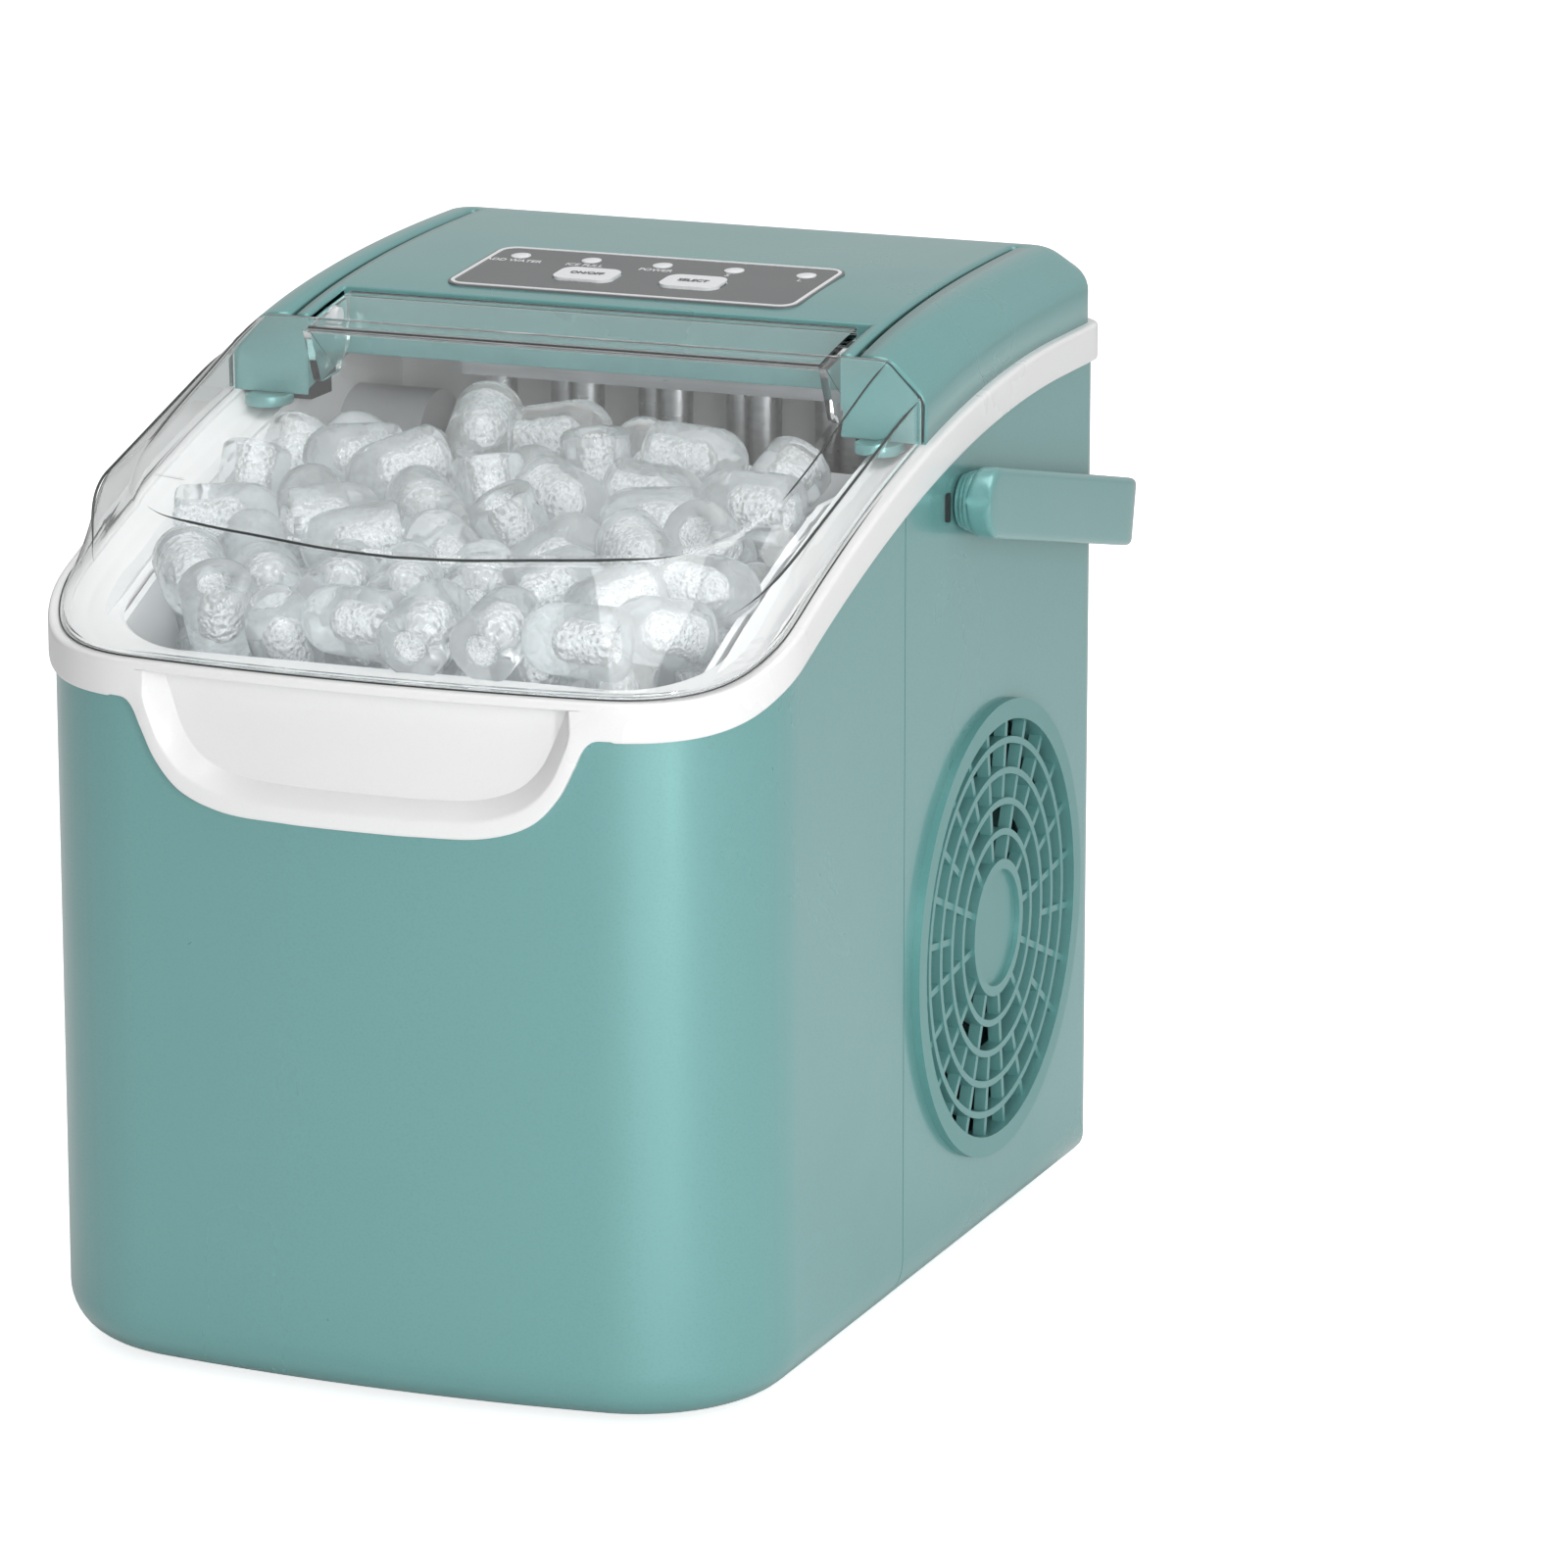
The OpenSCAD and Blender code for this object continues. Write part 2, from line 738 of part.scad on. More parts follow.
module button_switches() {
    color("black") on_panel() for (s = [-1, 1]) translate([s * button_x, button_y, -board_drop]) {
        translate([-3, -3, 0]) cube([6, 6, 2.4]);
        cylinder(h = switch_h, r = 1.7);
    }
}

/* Lid */

// Side outline of the lid: an upright rim, then the front face sloping back to the ridge.
module lid_side(t) {
    rim_y = front_y + 2.3 + t * 1.33;
    rim_z = band_front_z + 0.6;
    ridge_y = rim_y + fascia_d;
    ridge_z = top_z(front_y + 2.3 + fascia_d);
    slope = (ridge_z - rim_z) / fascia_d;
    rotate([90, 0, 90]) linear_extrude(far, center = true)
        polygon([[rim_y, 100], [rim_y, rim_z], [ridge_y, ridge_z], [ridge_y + 100 / slope, ridge_z + 100],
                 [rear_y, ridge_z + 100], [rear_y, 100]]);
}

module lid() {
    color("lightcyan", 0.4) {
        difference() {
            intersection() {
                top_block(0);
                plan_block(1, 0, far);
                lid_side(0);
            }
            below_band(lid_gap);
            intersection() {
                top_block(lid_t);
                plan_block(1 + lid_t, 0, far);
                lid_side(lid_t);
            }
            // behind the cover's front edge only the hinge tab is left
            difference() {
                translate([-far, cover_y - lid_gap, 0]) cube([2 * far, far, far]);
                translate([-notch_hw + lid_gap, cover_y - 5, 0])
                    cube([2 * (notch_hw - lid_gap), notch_d + 5 - tab_clear, far]);
            }
        }
        // the two cheeks that carry the hinge
        mirrored() difference() {
            intersection() {
                translate([cheek_x - cheek_t, 0, 0]) rotate([90, 0, 90]) linear_extrude(cheek_t)
                    polygon([[hinge_y - 24, hinge_z + 1], [hinge_y - 12, hinge_z - 17],
                             [hinge_y + 1, hinge_z - 16], [hinge_y + 9, hinge_z - 8],
                             [hinge_y + 9.4, hinge_z + 12], [hinge_y - 24, hinge_z + 12]]);
                top_block(lid_t / 2);
            }
            x_bar(cheek_x - 5, cheek_x + 5, hinge_y, hinge_z, hinge_pin_r + fit);
        }
    }
}

module lid_hinge_pins() {
    color("gainsboro") mirrored() {
        x_bar(cheek_x - cheek_t - 1, notch_hw + cover_t + 0.5, hinge_y, hinge_z, hinge_pin_r);
        x_bar(notch_hw + cover_t, notch_hw + cover_t + 1.5, hinge_y, hinge_z, hinge_pin_r + 0.3);
    }
}

/* Vent grilles */

module ring(r0, r1, z0, z1) {
    difference() {
        translate([0, 0, z0]) cylinder(h = z1 - z0, r = r1, $fn = 96);
        translate([0, 0, z0 - 1]) cylinder(h = z1 - z0 + 2, r = r0, $fn = 96);
    }
}

// A round grille about the Z axis, whose rim sits on the wall at z = 0.
module grille() {
    rib = 2;
    ring_pitch = (grille_wall_r - 3 - hub_r) / 4.6;
    ring(grille_r - 6, grille_r, 0, grille_proud);
    ring(grille_r - 6, grille_wall_r, -5.4, eps);
    for (i = [1 : 4]) ring(hub_r + i * ring_pitch - rib, hub_r + i * ring_pitch, -3.5, 1);
    difference() {
        translate([0, 0, -3.5]) cylinder(h = 5, r = hub_r);
        cylinder(h = 5, r = hub_r - 3);
    }
    for (i = [0 : spoke_count - 1]) rotate([0, 0, (i + 0.5) * 360 / spoke_count]) {
        inner = i % 2 == 0 ? hub_r - 1 : hub_r + 2 * ring_pitch - 1;
        translate([inner, -rib / 2, -3]) cube([grille_r - 5 - inner, rib, 3.5]);
    }
}

module grille_right() {
    color("cadetblue") translate([half_w, grille_y, grille_z]) rotate([0, 90, 0]) grille();
}

module grille_left() {
    color("cadetblue") mirror([1, 0, 0]) translate([half_w, grille_y, grille_z]) rotate([0, 90, 0]) grille();
}

/* Carry handle */

// Children drawn with the pivots on the X axis and the arms along +Y, laid at the folded angle.
module at_handle() {
    translate([0, pivot_y, pivot_z]) rotate([-handle_droop, 0, 0]) children();
}

module handle_outline(half, end, r) {
    translate([-half, -40]) square([2 * half, end - r + 40]);
    translate([r - half, end - r - 1]) square([2 * (half - r), r + 1]);
    for (s = [-1, 1]) translate([s * (half - r), end - r]) circle(r);
}

module carry_handle() {
    color("cadetblue") at_handle() {
        intersection() {
            translate([0, 0, -arm_h / 2]) linear_extrude(arm_h) difference() {
                handle_outline(handle_half_w, handle_reach + bar_t, handle_corner_r);
                handle_outline(arm_x, handle_reach, handle_corner_r - arm_t);
            }
            rotate([90, 0, 90]) linear_extrude(far, center = true) {
                circle(handle_end_r);
                translate([0, -arm_h / 2]) square([handle_reach + bar_t + 1, arm_h]);
            }
        }
        mirrored() {
            x_bar(half_w + 0.5, arm_x + 0.5, 0, 0, 9);
            difference() {
                x_bar(half_w - wall - 5, half_w + 1, 0, 0, pivot_r);
                x_bar(half_w - wall - 6, half_w - wall + 2, 0, 0, 1.5);
            }
        }
    }
}

module handle_washers() {
    color("silver") at_handle() mirrored() difference() {
        x_bar(half_w - wall - 6.4, half_w - wall - 5, 0, 0, 8);
        x_bar(half_w - wall - 7, half_w - wall - 4, 0, 0, 1.6);
    }
}

module handle_screws() {
    color("silver") at_handle() mirrored() {
        x_bar(half_w - wall - 8.2, half_w - wall - 6.4, 0, 0, 3.2);
        x_bar(half_w - wall - 6.4 - eps, half_w - wall + 1, 0, 0, 1.45);
    }
}

/* Cooling circuit */

module grommet_spots() {
    for (a = [90, 210, 330]) translate([comp_x, comp_y, 0]) rotate([0, 0, a])
        translate([compressor_r + 6, 0, 0]) children();
}

module compressor() {
    r = compressor_r;
    color("black") difference() {
        union() {
            translate([comp_x, comp_y, comp_z]) {
                cylinder(h = compressor_h - dome_h, r = r);
                intersection() {
                    translate([0, 0, compressor_h - dome_r]) sphere(dome_r, $fn = 128);
                    translate([0, 0, compressor_h - dome_h - 1]) cylinder(h = dome_h + 10, r = r + 5);
                }
            }
            grommet_spots() translate([0, 0, comp_z]) {
                cylinder(h = 2.5, r = 7);
                translate([-compressor_r - 6, -7, 0]) cube([compressor_r + 6, 14, 2.5]);
            }
        }
        grommet_spots() translate([0, 0, comp_z - 1]) cylinder(h = 5, r = 4 + fit);
    }
}

module compressor_grommets() {
    color("dimgray") grommet_spots() difference() {
        union() {
            translate([0, 0, deck_z]) cylinder(h = comp_z - deck_z, r = 7);
            translate([0, 0, comp_z - eps]) cylinder(h = 3.5, r = 4);
        }
        translate([0, 0, deck_z - 1]) cylinder(h = 16, r = 2.2);
    }
}

module compressor_bolts() {
    color("silver") grommet_spots() {
        translate([0, 0, pan_z + 0.1]) cylinder(h = comp_z + 3.5 - pan_z, r = 2);
        translate([0, 0, comp_z + 3.5]) cylinder(h = 2, r = 5);
    }
}

module start_relay() {
    color("black") translate([comp_x + compressor_r - 6, comp_y - 16, comp_z + 50]) difference() {
        cube([18, 32, 30]);
        translate([6 - compressor_r, 16, -1]) cylinder(h = 40, r = compressor_r + 0.2);
    }
}

module condenser_fins() {
    pitch = (core_l - 1) / (fin_count - 1);
    color("gainsboro") for (i = [0 : fin_count - 1])
        translate([core_x, fan_y - core_l / 2 + i * pitch, fan_z - core_h / 2]) cube([core_w, 1, core_h]);
}

function run_z(i) = fan_z - core_h / 2 + (i + 0.5) * core_h / run_count;

module condenser_coil() {
    pitch = core_h / run_count;
    half = core_l / 2 + 3;
    color("peru") translate([core_x + core_w / 2, fan_y, 0]) {
        for (i = [0 : run_count - 1]) translate([0, -half, run_z(i)]) rotate([-90, 0, 0])
            cylinder(h = 2 * half, r = 2.5, $fn = 24);
        for (i = [0 : run_count - 2]) {
            s = i % 2 == 0 ? 1 : -1;
            translate([0, s * half, run_z(i) + pitch / 2]) rotate([90, 0, 90]) rotate([0, 0, s > 0 ? -90 : 90])
                rotate_extrude(angle = 180, $fn = 48) translate([pitch / 2, 0]) circle(2.5, $fn = 24);
        }
    }
}

module at_fan() {
    translate([fan_x, fan_y, fan_z]) rotate([0, 90, 0]) children();
}

module fan_shroud() {
    color("dimgray") at_fan() {
        difference() {
            translate([-core_h / 2, -core_l / 2, 0]) cube([core_h, core_l, 2]);
            translate([0, 0, -1]) cylinder(h = 4, r = fan_r + 1.5);
        }
        ring(fan_r + 1.5, fan_r + 3, 1, blade_w + 6);
        // four stays hold the motor
        for (a = [45 : 90 : 315]) rotate([0, 0, a]) translate([15, -2.5, blade_w + 6 - 2])
            cube([fan_r - 13, 5, 2]);
        ring(13, 16, blade_w + 4, blade_w + 6);
    }
}

module fan_motor() {
    color("gray") at_fan() {
        translate([0, 0, blade_w + 6]) cylinder(h = 20, r = 15);
        translate([0, 0, 5]) cylinder(h = blade_w + 2, r = 1.5);
    }
}

module fan_blades() {
    color("black") at_fan() difference() {
        intersection() {
            union() {
                translate([0, 0, 3]) cylinder(h = blade_w, r = 11);
                for (i = [0 : blade_count - 1]) rotate([0, 0, i * 360 / blade_count])
                    translate([9, 0, 3 + blade_w / 2]) rotate([32, 0, 0])
                        translate([0, -9, -0.8]) cube([fan_r, 18, 1.6]);
            }
            translate([0, 0, 3]) cylinder(h = blade_w, r = fan_r);
        }
        translate([0, 0, 4.5]) cylinder(h = far, r = 1.5 + fit);
    }
}

module filter_drier() {
    color("peru") translate([drier_x, drier_y, 150]) {
        cylinder(h = 34, r = 7);
        translate([0, 0, -6]) cylinder(h = 7, r = 3);
        translate([0, 0, 33]) cylinder(h = 7, r = 3);
    }
}

// The capillary is wound into one tight bundle, with a thin leg at each end.
module capillary_tube() {
    bundle_r = 3;
    leg_r = 1.2;
    over_z = evap_tube_z + 7;
    color("peru") {
        translate([bundle_x, bundle_y, bundle_z])
            rotate_extrude() translate([12, 0]) circle(bundle_r, $fn = 24);
        pipe([[drier_x, drier_y, 190.2], [drier_x, drier_y, bundle_z], [bundle_x - 12, drier_y, bundle_z],
              [bundle_x - 12, bundle_y + 2.8, bundle_z]], leg_r);
        pipe([[bundle_x + 12, bundle_y, bundle_z], [bundle_x + 12, bundle_y, over_z],
              [evap_end_x, bundle_y, over_z], [evap_end_x, axis_y - finger_row_dy, over_z],
              [evap_end_x, axis_y - finger_row_dy, evap_tube_z + 3.2]], leg_r);
    }
}

module hot_gas_valve() {
    color("steelblue") translate([comp_x + 4, rear_y - 22, comp_top_z + 14]) {
        cylinder(h = 18, r = 6);
        translate([-9, -9, 18]) cube([18, 18, 22]);
    }
}

// Height at which a pipe of radius r meets the compressor's dome at x, y from its centre.
function dome_z(x, y, r) = comp_top_z - dome_r + sqrt(pow(dome_r, 2) - pow(norm([x, y]) - r, 2)) + 0.05;

module discharge_pipe() {
    r = 2.5;
    z = comp_top_z + 22;
    y = comp_y + 10;
    end_z = run_z(run_count - 1);
    color("peru") pipe([[comp_x - 16, y, dome_z(16, 10, r)], [comp_x - 16, y, z], [coil_x, y, z],
                        [coil_x, coil_end_y - 6, z], [coil_x, coil_end_y - 6, end_z],
                        [coil_x, coil_end_y, end_z]], r);
}

module liquid_pipe() {
    z = comp_top_z + 13;
    x = fan_x + 8;
    y = coil_end_y - 8;
    color("peru") pipe([[coil_x, coil_end_y, run_z(0)], [coil_x, y, run_z(0)], [x, y, run_z(0)], [x, y, z],
                        [x, drier_y, z], [drier_x, drier_y, z], [drier_x, drier_y, 143.8]], 2.5);
}

module suction_pipe() {
    r = 3;
    back_y = trough_rear_y + 16;
    z = comp_top_z + 34;
    color("peru") pipe([[evap_end_x, trough_rear_y - 5.8, evap_tube_z], [evap_end_x, back_y, evap_tube_z],
                        [evap_end_x, back_y, z], [comp_x + 14, back_y, z], [comp_x + 14, comp_y - 8, z],
                        [comp_x + 14, comp_y - 8, dome_z(14, 8, r)]], r);
}

/* Ice making */

module evaporator_plate() {
    color("silver") translate([plate_x0, axis_y - 17, plate_z])
        cube([plate_x1 - plate_x0, trough_rear_y - axis_y + 17 - 0.2, plate_t]);
}

module freezing_fingers() {
    color("lightgray") for (row = [0, 1], i = [0 : 4 - row])
        translate([plate_x0 + 9 + (i + row / 2) * finger_pitch, axis_y + (row * 2 - 1) * finger_row_dy,
                   plate_z - finger_l + finger_r]) {
            cylinder(h = finger_l - finger_r, r = finger_r);
            sphere(finger_r);
        }
}

module evaporator_tube() {
    y0 = axis_y - finger_row_dy;
    y1 = axis_y + finger_row_dy;
    color("peru") {
        for (y = [y0, y1]) x_bar(plate_x0 + 12, evap_end_x, y, evap_tube_z, 3);
        translate([plate_x0 + 12, axis_y, evap_tube_z]) rotate([0, 0, 90])
            rotate_extrude(angle = 180, $fn = 48) translate([finger_row_dy, 0]) circle(3, $fn = 24);
        pipe([[evap_end_x, y1, evap_tube_z], [evap_end_x, trough_rear_y - 6, evap_tube_z]], 3);
        translate([evap_end_x, y1, evap_tube_z]) sphere(3, $fn = 24);
    }
}

// Half a hollow cylinder about the X axis, open above.
module trough(r0, r1, x0, x1) {
    difference() {
        x_bar(x0, x1, 0, 0, r1);
        x_bar(x0 - 1, x1 + 1, 0, 0, r0);
        translate([x0 - 1, -far, 0]) cube([x1 - x0 + 2, 2 * far, far]);
    }
}

module water_tray() {
    r = tray_r + tray_t;
    color("whitesmoke") translate([0, axis_y, axis_z]) difference() {
        union() {
            trough(tray_r, r, tray_x0, tray_x1);
            trough(0.01, r - eps, tray_x0, tray_x0 + 2);
            trough(0.01, r - eps, tray_x1 - 2, tray_x1);
            for (x = [tray_x0, tray_x1 - 2]) x_bar(x, x + 2, 0, 0, 8);
            x_bar(tray_x1 - eps, bin_hw + liner_t + 2, 0, 0, stub_r);
        }
        x_bar(tray_x0 - 1, tray_x0 + 1.5, 0, 0, 3.05);
    }
}

module ice_shovel() {
    r = tray_r + tray_t;
    teeth = 6;
    pitch = (tray_x1 - tray_x0 - 20) / (teeth - 1);
    color("whitesmoke") translate([0, axis_y, axis_z]) difference() {
        union() {
            for (i = [0 : teeth - 1]) translate([tray_x0 + 8 + i * pitch, -r - 3, -14]) cube([4, 14, 14]);
            translate([tray_x0 + 8, -r - 3, -3]) cube([tray_x1 - tray_x0 - 16, 14, 3]);
        }
        x_bar(tray_x0, tray_x1, 0, 0, r + 0.02);
    }
}

module tray_bush() {
    color("ivory") translate([0, axis_y, axis_z]) difference() {
        union() {
            x_bar(bin_hw - 3, bin_hw + liner_t + 0.5, 0, 0, 7);
            x_bar(bin_hw - 3, bin_hw - 0.2, 0, 0, 9);
        }
        x_bar(bin_hw - 4, bin_hw + liner_t + 2, 0, 0, stub_r + fit);
    }
}

module tray_motor() {
    color("gray") translate([0, axis_y, axis_z]) {
        x_bar(motor_x + 0.1, motor_x + motor_l, 0, 0, motor_r);
        x_bar(motor_x + motor_l - 1, tray_x0 + 1.2, 0, 0, 3);
    }
}

/* Water */

pump_x = bin_hw - 30;
pump_y = bin_rear_y - 22;
hose_y = bin_rear_y + 8;
pump_z = bin_floor_z - 44;
drain_tap_x = 24 - bin_hw;

module water_pump() {
    color("black") {
        translate([pump_x, pump_y, pump_z]) cylinder(h = 32, r = 15);
        translate([pump_x, pump_y, pump_z + 31]) cylinder(h = 14.5, r = 6);
        translate([pump_x, pump_y, pump_z + 8]) rotate([-90, 0, 0]) cylinder(h = 24, r = 4);
    }
}

module pump_hose() {
    color("lightgray") pipe([[pump_x, pump_y + 24.2, pump_z + 8], [pump_x, hose_y, pump_z + 8],
                             [pump_x, hose_y, trough_floor_z + 6]], 4);
}

module water_level_sensor() {
    color("black") translate([0, bin_rear_y - 10, bin_floor_z]) cylinder(h = 12, r = 5);
}

module ice_full_sensors() {
    color("white") mirrored() translate([bin_hw - 7, hinge_y - 6, hinge_z - 23.6]) cube([6.9, 14, 9]);
}

module drain_fitting() {
    inner = drain_r - 2;
    color("ivory") translate([-half_w, drain_y, drain_z]) rotate([0, 90, 0]) difference() {
        union() {
            translate([0, 0, wall + 0.1]) cylinder(h = 2, r = drain_r + 3);
            cylinder(h = 26, r = inner);
        }
        translate([0, 0, -1]) cylinder(h = 20, r = inner - 2);
        translate([0, 0, -1]) cylinder(h = 40, r = 2.5);
    }
}

module drain_hose() {
    color("lightgray") pipe([[-half_w + 26.2, drain_y, drain_z], [drain_tap_x, drain_y, drain_z],
                             [drain_tap_x, drain_y, bin_floor_z - 0.2]], 5);
}

module drain_plug() {
    inner = drain_r - 4;
    color("dimgray") translate([-half_w, drain_y, drain_z]) rotate([0, 90, 0]) {
        translate([0, 0, -3.4]) cylinder(h = 3.2, r = drain_r);
        translate([0, 0, -0.3]) cylinder(h = 12, r = inner - 0.1);
    }
}

module cord_gland() {
    color("dimgray") translate([gland_x, rear_y, gland_z]) rotate([-90, 0, 0]) difference() {
        union() {
            cylinder(h = 3, r = gland_bore_r + 5);
            translate([0, 0, -wall - 6]) cylinder(h = wall + 6 + eps, r = gland_bore_r + 2.5);
        }
        translate([0, 0, -wall - 7]) cylinder(h = 20, r = gland_bore_r);
    }
}

/* The whole, moved so that the origin is at the centre of the footprint, on the floor */

handle_end_y = pivot_y + (handle_reach + bar_t) * cos(handle_droop) + arm_h / 2 * sin(handle_droop);
shift_y = (front_y - band_proud + handle_end_y) / 2;

module placed() {
    translate([0, -shift_y, foot_h]) children();
}

placed() front_shell();
placed() rear_housing();
placed() base_pan();
placed() rubber_feet();
placed() base_screws();
placed() white_band();
placed() finger_pocket();
placed() bin_liner();
placed() bin_insulation();
placed() ice_basket();
placed() top_cover();
placed() cover_screws();
placed() control_panel();
placed() power_button();
placed() select_button();
placed() indicator_lenses();
placed() control_board();
placed() button_switches();
placed() lid();
placed() lid_hinge_pins();
placed() grille_right();
placed() grille_left();
placed() carry_handle();
placed() handle_washers();
placed() handle_screws();
placed() compressor();
placed() compressor_grommets();
placed() compressor_bolts();
placed() start_relay();
placed() condenser_fins();
placed() condenser_coil();
placed() fan_shroud();
placed() fan_motor();
placed() fan_blades();
placed() filter_drier();
placed() capillary_tube();
placed() hot_gas_valve();
placed() discharge_pipe();
placed() liquid_pipe();
placed() suction_pipe();
placed() evaporator_plate();
placed() freezing_fingers();
placed() evaporator_tube();
placed() water_tray();
placed() ice_shovel();
placed() tray_bush();
placed() tray_motor();
placed() water_pump();
placed() pump_hose();
placed() water_level_sensor();
placed() ice_full_sensors();
placed() drain_fitting();
placed() drain_hose();
placed() drain_plug();
placed() cord_gland();
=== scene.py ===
# %% [markdown]
# # A countertop ice maker
# The imported model gives the machine its true sizes, its moving bodies and its hidden works. This script
# dresses that model: most visible mouldings are drawn again as smooth surfaces worked out from formulas,
# and the rest, every hidden part included, get a finish of their own. Lengths in the formulas are in
# millimetres, measured from the middle of the body's underside, and turned to metres at the end.

# %% Load the imported model
import math

import bpy
import bmesh
import numpy as np
from mathutils import Matrix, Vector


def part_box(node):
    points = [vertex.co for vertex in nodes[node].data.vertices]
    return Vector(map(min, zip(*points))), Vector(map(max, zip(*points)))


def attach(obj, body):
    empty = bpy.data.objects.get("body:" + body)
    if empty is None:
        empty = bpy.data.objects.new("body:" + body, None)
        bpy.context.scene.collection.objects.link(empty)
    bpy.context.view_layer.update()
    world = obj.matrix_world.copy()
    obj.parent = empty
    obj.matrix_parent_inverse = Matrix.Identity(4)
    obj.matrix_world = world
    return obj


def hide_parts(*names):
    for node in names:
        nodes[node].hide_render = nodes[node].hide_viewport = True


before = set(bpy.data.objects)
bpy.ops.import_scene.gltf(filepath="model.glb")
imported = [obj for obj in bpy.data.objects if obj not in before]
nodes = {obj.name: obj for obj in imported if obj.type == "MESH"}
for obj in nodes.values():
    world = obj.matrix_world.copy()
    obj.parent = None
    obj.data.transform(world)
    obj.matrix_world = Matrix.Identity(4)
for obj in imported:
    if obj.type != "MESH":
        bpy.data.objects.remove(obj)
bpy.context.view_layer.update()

# %% [markdown]
# ## Where things are
# The casing's own centre is a little in front of the model's origin, because the folded handle
# reaches out behind. Measuring the shells gives that offset, the widths and the heights, so that
# the drawn surfaces land on the model whatever its size.

# %% Measure the casing
shell_low = np.array(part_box("front_shell")[0]) * 1000
rear_high = np.array(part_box("rear_housing")[1]) * 1000
cover_high = np.array(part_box("top_cover")[1]) * 1000
ORIGIN = np.array([0.0, (shell_low[1] + rear_high[1]) / 2, shell_low[2]])
HALF_W = rear_high[0]
FRONT_Y = shell_low[1] - ORIGIN[1]
REAR_Y = rear_high[1] - ORIGIN[1]
TOP_Z = cover_high[2] - ORIGIN[2]
SEAM_Y = REAR_Y - 163.25
WALL = 2.6
print("body", 2 * HALF_W, "x", REAR_Y - FRONT_Y, "x", TOP_Z, "mm")


def to_row(points):
    """Millimetres from the body's own origin to metres in the model's frame: add the offset, then divide."""
    return (np.asarray(points, float) + ORIGIN) * 0.001


# %% [markdown]
# ## Turning arrays into meshes
# A moulding is a grid of points, so its faces are the grid's cells. One helper numbers the cells,
# one writes the arrays into a mesh, and one welds seams, drops cells that have shrunk to nothing
# and turns every face outwards. Nothing here loops over single points.

# %% Mesh helpers
def cells(rows, cols, wrap_rows=False, wrap_cols=True, first=0):
    """Four-cornered faces of a grid: cell (i, j) joins points j and j + 1 of rows i and i + 1, and wraps
    round where asked."""
    i = np.arange(rows if wrap_rows else rows - 1)[:, None]
    j = np.arange(cols if wrap_cols else cols - 1)[None, :]
    a, b = (i % rows) * cols, ((i + 1) % rows) * cols
    faces = np.stack([a + j % cols, b + j % cols, b + (j + 1) % cols, a + (j + 1) % cols], -1)
    return faces.reshape(-1, 4) + first


def piece(name, points, face_sets, material, body="casing", slot=None, crease=35.0, marks=None):
    """A mesh object from an array of points in millimetres and lists of faces, welded and turned outwards."""
    mesh = bpy.data.meshes.new(name)
    points = to_row(points)
    face_sets = [np.atleast_2d(f) for f in face_sets if len(f)]
    loops = np.concatenate([f.ravel() for f in face_sets])
    sizes = np.concatenate([np.full(len(f), f.shape[1]) for f in face_sets])
    mesh.vertices.add(len(points))
    mesh.vertices.foreach_set("co", points.ravel())
    mesh.loops.add(len(loops))
    mesh.loops.foreach_set("vertex_index", loops.astype(np.int32))
    mesh.polygons.add(len(sizes))
    mesh.polygons.foreach_set("loop_start", np.concatenate([[0], np.cumsum(sizes)[:-1]]).astype(np.int32))
    if marks is not None:
        mesh.polygons.foreach_set("material_index", np.asarray(marks, np.int32))
    mesh.update(calc_edges=True)
    work = bmesh.new()
    work.from_mesh(mesh)
    bmesh.ops.remove_doubles(work, verts=work.verts, dist=2e-6)
    bmesh.ops.dissolve_degenerate(work, edges=work.edges, dist=1e-6)
    bmesh.ops.recalc_face_normals(work, faces=work.faces)
    work.to_mesh(mesh)
    work.free()
    mesh.shade_smooth()
    mesh.set_sharp_from_angle(angle=math.radians(crease))
    made = bpy.data.objects.new(name, mesh)
    bpy.context.scene.collection.objects.link(made)
    for m in material if isinstance(material, (list, tuple)) else [material]:
        mesh.materials.append(m)
    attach(made, body)
    print(name, len(mesh.polygons), "faces")
    return made


def loft(name, sections, material, closed=False, **where):
    """A closed outline (second axis) carried along a path (first axis); an open path gets flat end caps."""
    rows, cols = sections.shape[:2]
    faces = [cells(rows, cols, wrap_rows=closed)]
    if not closed:
        faces += [np.arange(cols)[::-1], np.arange(cols) + (rows - 1) * cols]
    return piece(name, sections.reshape(-1, 3), faces, material, **where)


def bezier(a, b, c, t):
    """Quadratic curve: a weighs (1-t) squared, b weighs 2t(1-t) and c weighs t squared."""
    return a * (1 - t) ** 2 + b * 2 * t * (1 - t) + c * t * t


def soften(corners, reach, steps=5, closed=True):
    """Rounds the corners of an outline held on the second-last axis: each corner becomes a quadratic curve
    that leaves its incoming edge `reach` before the corner and joins the outgoing edge `reach` after it, or
    less where an edge is short."""
    corners = np.asarray(corners, float)
    reach = np.broadcast_to(np.asarray(reach, float), corners.shape[:-1])[..., None]
    before, after = np.roll(corners, 1, -2) - corners, np.roll(corners, -1, -2) - corners
    spans = [np.maximum(np.linalg.norm(e, axis=-1, keepdims=True), 1e-9) for e in (before, after)]
    starts = corners + before / spans[0] * np.minimum(reach, 0.48 * spans[0])
    ends = corners + after / spans[1] * np.minimum(reach, 0.48 * spans[1])
    if not closed:
        starts[..., [0, -1], :], ends[..., [0, -1], :] = corners[..., [0, -1], :], corners[..., [0, -1], :]
    t = np.linspace(0, 1, steps)
    curve = bezier(starts[..., None, :], corners[..., None, :], ends[..., None, :], t[:, None])
    return curve.reshape(*corners.shape[:-2], -1, corners.shape[-1])


